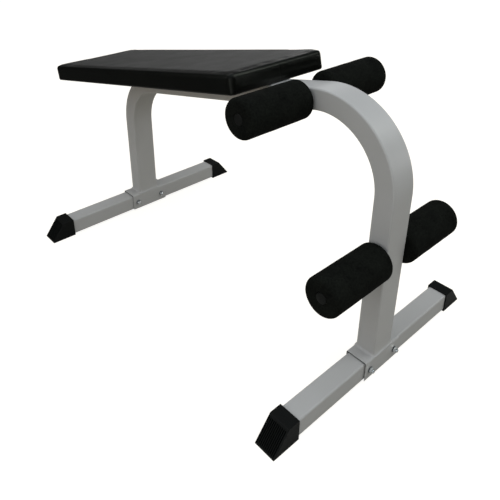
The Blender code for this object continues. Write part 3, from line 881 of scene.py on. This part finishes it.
def roller_profile(radius, half, bore):
    """The (radius, y) points round half a sleeve's section, bore and ends included."""
    inner = radius - ROLLER_EDGE
    edge = [(inner + ROLLER_EDGE * math.cos(angle), half - ROLLER_EDGE * (1 - math.sin(angle)))
            for angle in quarter(EDGE_ROWS)]
    face = []
    for step in range(1, FACE_ROWS + 1):
        share = step / FACE_ROWS
        face.append((inner + (bore + BORE_EDGE - inner) * share, half - END_DISH * share * share))
    lip = [(bore + BORE_LIP, half - END_DISH - BORE_LIP), (bore, half - END_DISH - BORE_EDGE)]
    outside = edge + face + lip
    barrel = [(radius, (half - ROLLER_EDGE) * (2 * row / ROLLER_ROWS - 1)) for row in range(1, ROLLER_ROWS)]
    return [(r, -y) for r, y in reversed(outside)] + barrel + outside


def make_roller(level, hand, number):
    """A foam sleeve, a little uneven."""
    node = f"{level}_{hand}_roller"
    place, size = middle(node), extent(node)
    radius, half, bore = size.x / 2, size.y / 2, bar_radius + FIT_GAP

    def dents(u, v, y, at):
        """How far the radius grows here. The bore and the middle of the ends stay true."""
        if at < radius / 2:
            return 0
        seed = Vector((u * radius, y, v * radius)) / DENT_SIZE + Vector((NEXT_DENTS * number, 0, 0))
        return DENT_DEPTH * (noise.noise(seed) - 0.5)

    roller = turned(f"{level}_{hand}_foam_sleeve", roller_profile(radius, half, bore), place,
                    ROLLER_SIDES, ring=True, ripple=dents)
    dress(roller, foam_rubber, [node], body=f"{level}_{hand}_sleeve", weighted=False,
          angle=math.radians(80))
    return roller


roller_names = [(level, hand) for level in bar_places for hand in HANDS]
rollers = [make_roller(level, hand, number) for number, (level, hand) in enumerate(roller_names)]
print("rollers:", [len(roller.data.polygons) for roller in rollers], "faces")


# %% [markdown]
# ## The plugs
# A nylon plug is pushed into each end of a bar and keeps the roller on it. Its head has a low dome with a
# small round rim. Four points make the rim's quarter circle, and the dome is a parabola, flat in the
# middle.

# %% Plugs
PLUG_DOME = 0.0008
PLUG_RIM = 0.0008
RIM_ANGLES = (0, 30, 60, 90)
DOME_STEPS = 8


def make_plug(level, hand):
    """A stem in the bar and a low dome over its end."""
    low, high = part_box(f"{level}_{hand}_plug")
    head = (high.x - low.x) / 2
    outer = max(abs(low.y), abs(high.y))
    inner = min(abs(low.y), abs(high.y))
    seat = extent(f"{level}_roller_bar").y / 2 + FIT_GAP
    stem = bar_radius - BAR_WALL - FIT_GAP
    rim = outer - PLUG_DOME
    profile = [(stem - PLUG_RIM, inner), (stem, inner + PLUG_RIM), (stem, seat), (head, seat)]
    for turn in map(math.radians, RIM_ANGLES):
        profile.append((head - PLUG_RIM * (1 - math.cos(turn)), rim - PLUG_RIM * (1 - math.sin(turn))))
    for step in range(1, DOME_STEPS):
        share = step / DOME_STEPS
        profile.append(((head - PLUG_RIM) * (1 - share), rim + PLUG_DOME * (1 - (1 - share) ** 2)))
    place = bar_places[level].copy()
    place.y = 0
    plug = turned(f"{level}_{hand}_bar_plug", profile, place, BAR_SIDES, side=HANDS[hand])
    return dress(plug, plug_plastic, [f"{level}_{hand}_plug"], weighted=False)


plugs = [make_plug(level, hand) for level, hand in roller_names]
print("plugs:", len(plugs))


# %% [markdown]
# ## Nuts, bolts and washers
# A hexagon nut is chamfered on a lathe, which leaves the curved edges that make it look like a nut: the
# cone meets the flats in arcs. Each point round the hexagon is lowered by how far it lies outside the
# chamfer's circle, and the arcs come by themselves. The thread is drawn as rings where it stands out of the
# nut. All bolts are M8, with 8 mm shanks and a thread pitch of 1.25 mm.

# %% Fastener shapes
BOLT_RADIUS = 0.004
BORE = BOLT_RADIUS + FIT_GAP
HEX_SIDES = 48
FACE_SHARE = 0.47
CHAMFER_SLOPE = math.tan(math.radians(30))
COUNTERSINK = 0.0005
HEAD_RIM = 0.0010
WASHER_RIM = 0.0003
THREAD_PITCH = 0.00125
THREAD_DEPTH = 0.0007
PLAIN_TIP = 0.0004


def hex_loop(flats, height, chamfer_from=None, direction=1):
    """A hexagon of points at a height, lowered towards its corners by a chamfer."""
    loop = []
    for side in range(HEX_SIDES):
        angle = 2 * math.pi * side / HEX_SIDES
        radius = flats / 2 / math.cos(angle % (math.pi / 3) - math.pi / 6)
        drop = max(0, radius - chamfer_from) * CHAMFER_SLOPE if chamfer_from else 0
        loop.append((radius * math.cos(angle), radius * math.sin(angle), height - direction * drop))
    return loop


def ring_loop(radius, height):
    """A circle of as many points as the hexagon."""
    return [(u, v, height) for u, v in circle(radius, HEX_SIDES)]


def nut_loops(flats, low, high):
    """A nut, as a ring of loops up its outside."""
    face = flats * FACE_SHARE
    return [
        ring_loop(BORE + COUNTERSINK, low), ring_loop(face, low), hex_loop(flats, low, face, -1),
        hex_loop(flats, high, face, 1), ring_loop(face, high), ring_loop(BORE + COUNTERSINK, high),
        ring_loop(BORE, high - COUNTERSINK), ring_loop(BORE, low + COUNTERSINK),
    ]


def washer_loops(radius, low, high):
    """A washer with a stamped, slightly round rim."""
    flat = radius - WASHER_RIM
    return [
        ring_loop(BORE, low), ring_loop(flat, low), ring_loop(radius, low + WASHER_RIM),
        ring_loop(radius, high - WASHER_RIM), ring_loop(flat, high), ring_loop(BORE, high),
    ]


def bolt_loops(flats, head_low, under_head, tip, thread_from):
    """A bolt, from its head to its tip."""
    face = flats * FACE_SHARE
    loops = [
        ring_loop(face - HEAD_RIM, head_low), ring_loop(face, head_low), hex_loop(flats, head_low, face, -1),
        hex_loop(flats, under_head), ring_loop(BOLT_RADIUS, under_head), ring_loop(BOLT_RADIUS, thread_from),
    ]
    height = thread_from
    while height + THREAD_PITCH < tip - PLAIN_TIP:
        loops.append(ring_loop(BOLT_RADIUS - THREAD_DEPTH, height + THREAD_PITCH / 2))
        height += THREAD_PITCH
        loops.append(ring_loop(BOLT_RADIUS, height))
    return loops + [ring_loop(BOLT_RADIUS - THREAD_DEPTH, tip)]


def make_fastener(name, loops, turn, stands_for, ring=True, finish=zinc_plate):
    """A zinc plated fastener, drawn along Z and then turned into place."""
    placed = [[turn @ Vector(point) for point in loop] for loop in loops]
    return dress(new_body(name, placed, ring), finish, [stands_for], weighted=False,
                 angle=math.radians(25))


print("bores are", round(2 * BORE * 1000, 2), "mm wide")


# %% [markdown]
# ## The bolts of the saddles
# A bolt goes through saddle and foot from behind, with a washer under its head and another under its nut.
# The nuts face the front. Whoever tightened them stopped at any angle, so each is turned by its own number
# of degrees, and its bolt with it.

# %% Bolts of the saddles
ALONG_X = Matrix.Rotation(math.pi / 2, 4, "Y")
NUT_TURNS = {("front", "left"): 33, ("front", "right"): 27, ("rear", "left"): 21, ("rear", "right"): 4}


def span_x(node, x):
    """A solid's reach along X, from the middle of its foot."""
    low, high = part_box(node)
    return low.x - x, high.x - x


def fasten_saddle(foot, hand):
    """A bolt, two washers and a nut through one end of a saddle."""
    stem, x = f"{foot}_{hand}", foot_x[foot]
    twist = Matrix.Rotation(math.radians(NUT_TURNS[foot, hand]), 4, "Z")
    place = Matrix.Translation((x, bolt_places[foot, hand].y, base_height)) @ ALONG_X @ twist
    flats = extent(f"{stem}_nut").y
    rim = extent(f"{stem}_nut_washer").z / 2
    nut, bolt = span_x(f"{stem}_nut", x), span_x(f"{stem}_bolt", x)
    washers = {side: span_x(f"{stem}_{side}_washer", x) for side in ("nut", "head")}
    made = [make_fastener(f"{stem}_hex_nut", nut_loops(flats, *nut), place, f"{stem}_nut")]
    for side, reach in washers.items():
        # The washers take the zinc that is darkened as painted shade.
        made.append(make_fastener(f"{stem}_{side}_side_washer", washer_loops(rim, *reach), place,
                                  f"{stem}_{side}_washer", finish=shaded_washer_zinc))
    loops = bolt_loops(flats, bolt[0], washers["head"][0] - FIT_GAP, bolt[1], nut[1])
    made.append(make_fastener(f"{stem}_hex_bolt", loops, place, f"{stem}_bolt", ring=False))
    return made


saddle_fasteners = [piece for foot, hand in bolt_places for piece in fasten_saddle(foot, hand)]
print("saddle fasteners:", len(saddle_fasteners))


# %% [markdown]
# ## The bolts of the pad
# Three bolts come up through the beam and hold the pad's board in tee nuts. They are square to the slope,
# so they are measured and placed in the beam's own frame. Only their heads and the end of the shank are
# free; the thread starts inside the beam. The tee nuts are hidden in the board and keep their solids, with
# zinc on them.

# %% Bolts of the pad
PAD_BOLT_TURNS = (6, -17, 25)
HEAD_SHARE = 0.98
PLAIN_SHANK = 0.03


def beam_span(node):
    """A solid's lowest and highest corners in the beam's frame."""
    points = [into_beam @ vertex.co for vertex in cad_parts[node].data.vertices]
    low = Vector([min(point[axis] for point in points) for axis in range(3)])
    high = Vector([max(point[axis] for point in points) for axis in range(3)])
    return low, high


def fasten_pad(number, degrees):
    """A bolt and its washer under the beam, and the tee nut in the board."""
    bolt_low, bolt_high = beam_span(f"pad_bolt_{number}")
    washer_low, washer_high = beam_span(f"pad_washer_{number}")
    x = (bolt_low.x + bolt_high.x) / 2
    place = beam @ Matrix.Translation((x, 0, 0)) @ Matrix.Rotation(math.radians(degrees), 4, "Z")
    rim = (washer_high.y - washer_low.y) / 2
    flats = HEAD_SHARE * (bolt_high.y - bolt_low.y)
    # The washer takes the zinc that is darkened as painted shade.
    make_fastener(f"pad_fixing_washer_{number}", washer_loops(rim, washer_low.z, washer_high.z), place,
                  f"pad_washer_{number}", finish=shaded_washer_zinc)
    loops = bolt_loops(flats, bolt_low.z, washer_low.z - FIT_GAP, bolt_high.z, washer_high.z + PLAIN_SHANK)
    make_fastener(f"pad_fixing_bolt_{number}", loops, place, f"pad_bolt_{number}", ring=False)
    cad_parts[f"pad_tee_nut_{number}"].data.materials[0] = zinc_plate


for number, degrees in zip(PAD_BOLTS, PAD_BOLT_TURNS):
    fasten_pad(number, degrees)
print("pad bolts:", len(PAD_BOLTS))


# %% [markdown]
# ## The pad's cover
# Vinyl is pulled over the foam and stapled under the board. The pull rounds the top edges and draws the
# sides in, while the foam pushes the middle up. A cloth simulation finds that balance, and it needs a shell
# to start from: closed, a little smaller than the solid, and with round edges above and below.
# Cloth only bends between its cells, so the shell is remeshed to even cells of 5 mm. The remesh chamfers
# every edge a little, so its points are then put back on the exact shell.

# %% The shell to start from
START_INSET = 0.0002
PLAN_CORNER = 0.014
TOP_EDGE = 0.010
UNDER_EDGE = 0.0055
CORNER_STEPS = 10
EDGE_STEPS = 8
CELL = 0.005

cover_low, cover_high = beam_span("pad_cover")


def pad_plan(inset, height):
    """The pad's outline at a height, inset all round, in the beam's frame."""
    length = cover_high.x - cover_low.x - 2 * inset
    width = cover_high.y - cover_low.y - 2 * inset
    centre = (cover_low.x + cover_high.x) / 2
    outline = rounded_rectangle(length, width, PLAN_CORNER - inset, CORNER_STEPS)
    return [(centre + u, v, height) for u, v in outline]


def pad_shell(inset):
    """A closed shell of the pad, smaller than the solid by an inset."""
    bottom, top = cover_low.z, cover_high.z - inset
    under = [pad_plan(inset + UNDER_EDGE * (1 - math.sin(angle)), bottom + UNDER_EDGE * (1 - math.cos(angle)))
             for angle in quarter(EDGE_STEPS)]
    upper = [pad_plan(inset + TOP_EDGE * (1 - math.cos(angle)), top - TOP_EDGE * (1 - math.sin(angle)))
             for angle in quarter(EDGE_STEPS)]
    return new_body("pad_shell", under + upper)


def coordinates(shape):
    """The mesh's points as an array."""
    points = np.zeros(3 * len(shape.data.vertices), np.float32)
    shape.data.vertices.foreach_get("co", points)
    return points.reshape(-1, 3).astype(float)


def move_to(shape, points):
    """Write the points back to the mesh."""
    shape.data.vertices.foreach_set("co", points.astype(np.float32).ravel())
    shape.data.update()


def snapped(points, tree):
    """Each point moved to the nearest place on a surface."""
    return np.array([tree.find_nearest(Vector(point))[0] for point in points], float).reshape(-1, 3)


cover = pad_shell(START_INSET)
bm = bmesh.new()
bm.from_mesh(cover.data)
exact_shell = BVHTree.FromBMesh(bm)
bm.free()
remesh = cover.modifiers.new("even cells", "REMESH")
remesh.mode = "VOXEL"
remesh.voxel_size = CELL
settle(cover)
move_to(cover, snapped(coordinates(cover), exact_shell))
print("pad shell:", len(cover.data.vertices), "points")


# %% [markdown]
# ## Blowing the cover up
# The foam's push is air pressure inside the shell, and the staples are a held underside. Vinyl resists
# stretching far more than bending, so its stiffness is 25 for stretch and 2 for bend. Gravity is off, since
# the foam carries the cover. After 20 frames the cloth has settled into a crown with drawn-in corners. Air
# would swell a flat box far more than foam does. So the cloth's shape is kept and its size is tamed: no
# point rises more than 3 mm on top or 1.5 mm at the sides, or slides more than 1 mm. A smooth limit leaves
# no step.

# %% Blow the shell up
CLOTH = {
    "quality": 5, "mass": 0.3, "tension_stiffness": 25, "compression_stiffness": 25, "shear_stiffness": 10,
    "bending_stiffness": 2, "use_pressure": True, "uniform_pressure_force": 4.0,
}
FRAMES = 20
RISE = 0.0030
BULGE = 0.0015
SINK = 0.0001
SLIDE = 0.0010
HELD_BELOW = 0.010
SIDE_TO_TOP = (0.4, 0.95)
TINY = 1e-9


def fade(value, start, end):
    """Fall smoothly from 1 to 0 between two values."""
    share = np.clip((value - start) / (end - start), 0, 1)
    return 1 - share * share * (3 - 2 * share)


def inflate(shape):
    """Run the cloth, then keep each point's move within what the foam allows."""
    start = coordinates(shape)
    outward = np.array([vertex.normal for vertex in shape.data.vertices], float)
    held = shape.vertex_groups.new(name="held by the board")
    held.add([int(i) for i in np.nonzero(start[:, 2] < cover_low.z + HELD_BELOW)[0]], 1.0, "REPLACE")
    settings = shape.modifiers.new("vinyl", "CLOTH").settings
    for name, value in CLOTH.items():
        setattr(settings, name, value)
    settings.effector_weights.gravity = 0
    settings.vertex_group_mass = held.name
    for number in range(1, FRAMES + 1):
        bpy.context.scene.frame_set(number)
    settle(shape)
    bpy.context.scene.frame_set(1)
    move = coordinates(shape) - start
    lift = (move * outward).sum(axis=1, keepdims=True)
    slide = move - lift * outward
    slide_length = np.linalg.norm(slide, axis=1, keepdims=True)
    slide *= SLIDE * np.tanh(slide_length / SLIDE) / np.maximum(slide_length, TINY)
    most = RISE - (RISE - BULGE) * fade(outward[:, 2:], *SIDE_TO_TOP)
    lift = np.where(lift > 0, most * np.tanh(lift / most), np.maximum(lift, -SINK))
    move_to(shape, start + lift * outward + slide)


inflate(cover)
print("cover blown up:", np.round(coordinates(cover).max(0), 4))


# %% [markdown]
# ## Folding, hemming and placing the cover
# At the corners there is more vinyl than the pad needs, and it is gathered under the end faces. That raises
# a low fold along the top edge, with a shallow valley behind it. Each corner is given by its end and side,
# and by how high and how far its fold goes. The corner that the photograph shows best has the tallest. The
# vinyl's join is an upright seam in the middle of the front face, pressed in by less than 1 mm.
# The underside is open, because the cover is only folded round the board's edge by a 25 mm hem, and the
# board shows in the window between. Last, the sheet gets its thickness inwards, and is laid on the slope.

# %% Fold, hem and place the cover
VINYL = 0.0012
HEM = 0.025
FOLD_HEIGHT = 0.0010
FOLD_REACH = 0.11
FOLD_CORE = 0.3
FOLD_DEPTH = (0.015, 0.03)
CREST_AT, CREST_WIDTH = 38, 13
VALLEY_AT, VALLEY_WIDTH, VALLEY_SHARE = 10, 8, 0.9
CORNER_FOLDS = ((1, -1, 1.0, 1.0), (1, 1, 0.2, 0.6), (-1, -1, 0.3, 0.7), (-1, 1, 0.3, 0.7))
SEAM_DEPTH = 0.0008
SEAM_HALF_WIDTH = 0.0022
SEAM_START = (0.006, 0.014)
SQUARE_ON = 0.9
FLATTEST = 0.05


def bell(value, centre, width):
    """A smooth hump round a value."""
    return np.exp(-((value - centre) / width) ** 2)


def fold(shape):
    """Raise low folds where the vinyl is gathered at the corners, and press in the front face's seam."""
    points = coordinates(shape)
    normals = np.array([vertex.normal for vertex in shape.data.vertices], float)
    slope = np.degrees(np.arccos(np.clip(normals[:, 2], -1, 1)))
    profile = bell(slope, CREST_AT, CREST_WIDTH) - VALLEY_SHARE * bell(slope, VALLEY_AT, VALLEY_WIDTH)
    for end, side, height, share in CORNER_FOLDS:
        edge_x = cover_high.x if end > 0 else cover_low.x
        edge_y = cover_high.y if side > 0 else cover_low.y
        from_end, from_side = np.abs(points[:, 0] - edge_x), np.abs(points[:, 1] - edge_y)
        faces_end = np.clip(end * normals[:, 0] / np.maximum(np.sin(np.radians(slope)), FLATTEST), 0, 1)
        reach = FOLD_REACH * share
        near = fade(from_end, *FOLD_DEPTH) * fade(from_side, reach * FOLD_CORE, reach)
        points += normals * (FOLD_HEIGHT * height * profile * faces_end * near)[:, None]
    below_edge = 1 - fade(cover_high.z - points[:, 2], *SEAM_START)
    dent = below_edge * bell(points[:, 1], 0, SEAM_HALF_WIDTH) * (normals[:, 0] > SQUARE_ON)
    points[:, 0] -= SEAM_DEPTH * dent
    move_to(shape, points)


subdivide = cover.modifiers.new("finer", "SUBSURF")
subdivide.levels = 1
subdivide.render_levels = 1
settle(cover)
points = coordinates(cover)
low = points[:, 2] < cover_low.z + HELD_BELOW
points[low] = snapped(points[low], exact_shell)
move_to(cover, points)
fold(cover)
bm = bmesh.new()
bm.from_mesh(cover.data)
window = [face for face in bm.faces if face.normal.z < -SQUARE_ON and
          cover_low.x + HEM < face.calc_center_median().x < cover_high.x - HEM and
          abs(face.calc_center_median().y) < cover_high.y - HEM]
bmesh.ops.delete(bm, geom=window, context="FACES")
bm.to_mesh(cover.data)
bm.free()
thick = cover.modifiers.new("vinyl thickness", "SOLIDIFY")
thick.thickness = VINYL
thick.offset = -1
settle(cover)
cover.data.transform(beam)
cover.name = "vinyl_cover"
dress(cover, vinyl, ["pad_cover"], weighted=False, angle=math.radians(60))
print("cover:", len(cover.data.polygons), "faces")


# %% [markdown]
# ## The board and the foam
# A sawn board and a cut block of foam are as plain as their solids, and the cover hides nearly all of them.
# So they keep their solids and only get their materials.

# %% Board and foam keep their solids
for node, material in (("pad_board", plywood), ("pad_foam", cushion_foam)):
    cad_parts[node].data.materials[0] = material
    print(node, "is made of", material.name)


# %% [markdown]
# ## The floor
# The bench stands on a pale sheet of paper. A little glow, which only the camera sees, lifts the paper to
# white where it is lit, so the bench reads as a cut-out while its soft shadow stays. Light that bounces off
# the paper is slightly warm and fills the undersides.
# The paper ends not far from the bench, and beyond it the studio's floor is dark. Only reflections see that
# edge: smooth vinyl and paint mirror pale paper near by and dark floor far off, which gives them their
# contrast.

# %% Floor
FLOOR_SIZE = 30
FLOOR_LIFT = 0.84
SHEET_CENTRE = (0.0, 0.2, 0.0)
SHEET_REACH = (0.95, 0.5, 0.0)
SHEET_FADE = 0.3


def make_floor():
    """A wide plane that glows a little to the camera and ends in a dark floor in reflections."""
    material, tree, shader, place = start_material("pale_floor", Roughness=0.9)
    path = add_node(tree, "LightPath")
    for operation, other in (("SUBTRACT", SHEET_CENTRE), ("ABSOLUTE", (0, 0, 0)),
                             ("SUBTRACT", SHEET_REACH), ("MAXIMUM", (0, 0, 0))):
        place = add_node(tree, "VectorMath", {0: place, 1: other}, operation=operation).outputs[0]
    away = add_node(tree, "VectorMath", {0: place}, operation="LENGTH").outputs["Value"]
    far = add_node(tree, "MapRange", {"Value": away, "From Max": SHEET_FADE},
                   interpolation_type="SMOOTHSTEP")
    mirrored = add_node(tree, "Mix", data_type="RGBA")
    seen = add_node(tree, "Mix", data_type="RGBA")
    for node, factor, colour in ((mirrored, far.outputs["Result"], "#A9A7A2"),
                                 (seen, path.outputs["Is Glossy Ray"], "#9D9686")):
        tree.links.new(factor, node.inputs[0])
        node.inputs[6].default_value = linear(colour)
    mirrored.inputs[7].default_value = linear("#3C3B39")
    tree.links.new(mirrored.outputs[2], seen.inputs[7])
    tree.links.new(seen.outputs[2], shader.inputs["Base Color"])
    lift = add_node(tree, "Math", {0: path.outputs["Is Camera Ray"], 1: FLOOR_LIFT}, operation="MULTIPLY")
    glow = add_node(tree, "Emission", {"Color": (1, 1, 1, 1), "Strength": lift.outputs[0]})
    both = add_node(tree, "AddShader", {0: shader.outputs["BSDF"], 1: glow.outputs[0]})
    tree.links.new(both.outputs[0], tree.nodes["Material Output"].inputs["Surface"])
    bm = bmesh.new()
    bmesh.ops.create_grid(bm, x_segments=1, y_segments=1, size=FLOOR_SIZE / 2)
    floor = new_object("floor", bm)
    floor.data.materials.append(material)
    return floor


floor = make_floor()
print("floor:", FLOOR_SIZE, "m wide")


# %% [markdown]
# ## The studio's walls
# Three kinds of rays see three different rooms. The camera sees plain white. Matt surfaces are lit by an
# even dome, so the shadows stay soft. Shiny surfaces mirror a dark room with one bright backdrop, opposite
# the camera and a little to its right, that fades upwards: it gives the low sheen on the pad's top and
# sides.

# %% Studio
DOME_STRENGTH = 0.68
ROOM_SHEEN = 0.02
BACKDROP_SHEEN = 0.80
BACKDROP_TOWARD = (-0.5, 0.866, 0.0)
BACKDROP_EDGE = 0.58
BACKDROP_TOP = (0.05, 0.35)
ABOVE_BACKDROP = 0.1


def make_world():
    """White to the camera, even to matt surfaces, and dark with a bright backdrop to shiny ones."""
    world = bpy.data.worlds.new("studio")
    world.use_nodes = True
    bpy.context.scene.world = world
    tree = world.node_tree
    path = add_node(tree, "LightPath")
    backdrop = Vector(BACKDROP_TOWARD).normalized()
    direction = add_node(tree, "TexCoord").outputs["Generated"]
    facing = add_node(tree, "VectorMath", {0: direction, 1: backdrop}, operation="DOT_PRODUCT")
    height = add_node(tree, "SeparateXYZ", {"Vector": direction}).outputs["Z"]
    low = add_node(tree, "MapRange", {
        "Value": height, "From Min": BACKDROP_TOP[0], "From Max": BACKDROP_TOP[1],
        "To Min": 1.0, "To Max": ABOVE_BACKDROP,
    })
    bright = add_node(tree, "Math", {0: low.outputs["Result"], 1: BACKDROP_SHEEN}, operation="MULTIPLY")
    mirrored = add_node(tree, "MapRange", {
        "Value": facing.outputs["Value"], "From Min": BACKDROP_EDGE, "From Max": 1.0,
        "To Min": ROOM_SHEEN, "To Max": bright.outputs[0],
    })
    shiny = add_node(tree, "Mix", {
        0: path.outputs["Is Glossy Ray"], 2: DOME_STRENGTH, 3: mirrored.outputs["Result"],
    })
    seen = add_node(tree, "Math", {
        0: path.outputs["Is Camera Ray"], 1: path.outputs["Is Transmission Ray"],
    }, operation="MAXIMUM")
    strength = add_node(tree, "Mix", {0: seen.outputs[0], 2: shiny.outputs[0], 3: 1.0})
    tree.links.new(strength.outputs[0], tree.nodes["Background"].inputs["Strength"])
    tree.nodes["Background"].inputs["Color"].default_value = (1, 1, 1, 1)


make_world()
bpy.context.scene.view_settings.view_transform = "Standard"
print("dome at", DOME_STRENGTH, "and backdrop at", BACKDROP_SHEEN)


# %% [markdown]
# ## The lamps
# Three soft boxes shape the bench. A cool one hangs overhead and brightens every top face. A warm one
# stands far out on the camera's side and fills the long sides. It has no reflection, or the rollers would
# shine. A smaller one, behind the bench on the right of the picture, gives the bend and the front upright
# their bright outer face.
# The glints are lamps that only reflections see. Each stands where some piece mirrors it towards the
# camera: the front foot and its nuts, the top of the main tube, and the pad's front corner and front face.
# Each line of the list is a lamp's name, place, aim, size in metres, watts and colour.

# %% Lamps
AIM = (0.1, 0, 0.2)
LAMPS = (
    ("overhead", (0.6, -0.4, 2.3), AIM, 2.4, 16, "#EAF4FF"),
    ("side_fill", (-0.2, -3.4, 1.5), AIM, 2.0, 12, "#FFFAF3"),
    ("right_back", (1.7, 1.6, 2.3), AIM, 0.9, 14, "#FBFFFA"),
    ("left_glint", (-1.5, -2.6, 1.25), (0.6, 0, 0.05), 1.1, 8, "#FFFFFF"),
    ("back_glint", (-1.8, 2.6, 1.85), (0.6, 0, 0.05), 0.6, 3, "#FFFFFF"),
    ("top_glint", (-0.9, -0.3, 2.1), (0.5, -0.2, 0.2), 0.8, 5, "#FFFFFF"),
    ("front_glint", (0.96, -1.00, 0.55), (0.26, -0.15, 0.62), 1.0, 3.6, "#FFFFFF"),
    ("face_glint", (1.62, 1.48, 0.66), (0.27, 0, 0.66), 0.25, 1.8, "#FFFFFF"),
)

for name, place, aim, size, watts, colour in LAMPS:
    data = bpy.data.lights.new(name, "AREA")
    data.shape = "SQUARE"
    data.size = size
    data.energy = watts
    data.color = linear(colour)[:3]
    lamp = bpy.data.objects.new(name, data)
    bpy.context.scene.collection.objects.link(lamp)
    lamp.location = place
    lamp.rotation_euler = (Vector(aim) - Vector(place)).to_track_quat("-Z", "Y").to_euler()
    lamp.visible_camera = False
    lamp.visible_glossy = name != "side_fill"
    lamp.visible_diffuse = not name.endswith("glint")
print("lamps:", len(LAMPS))
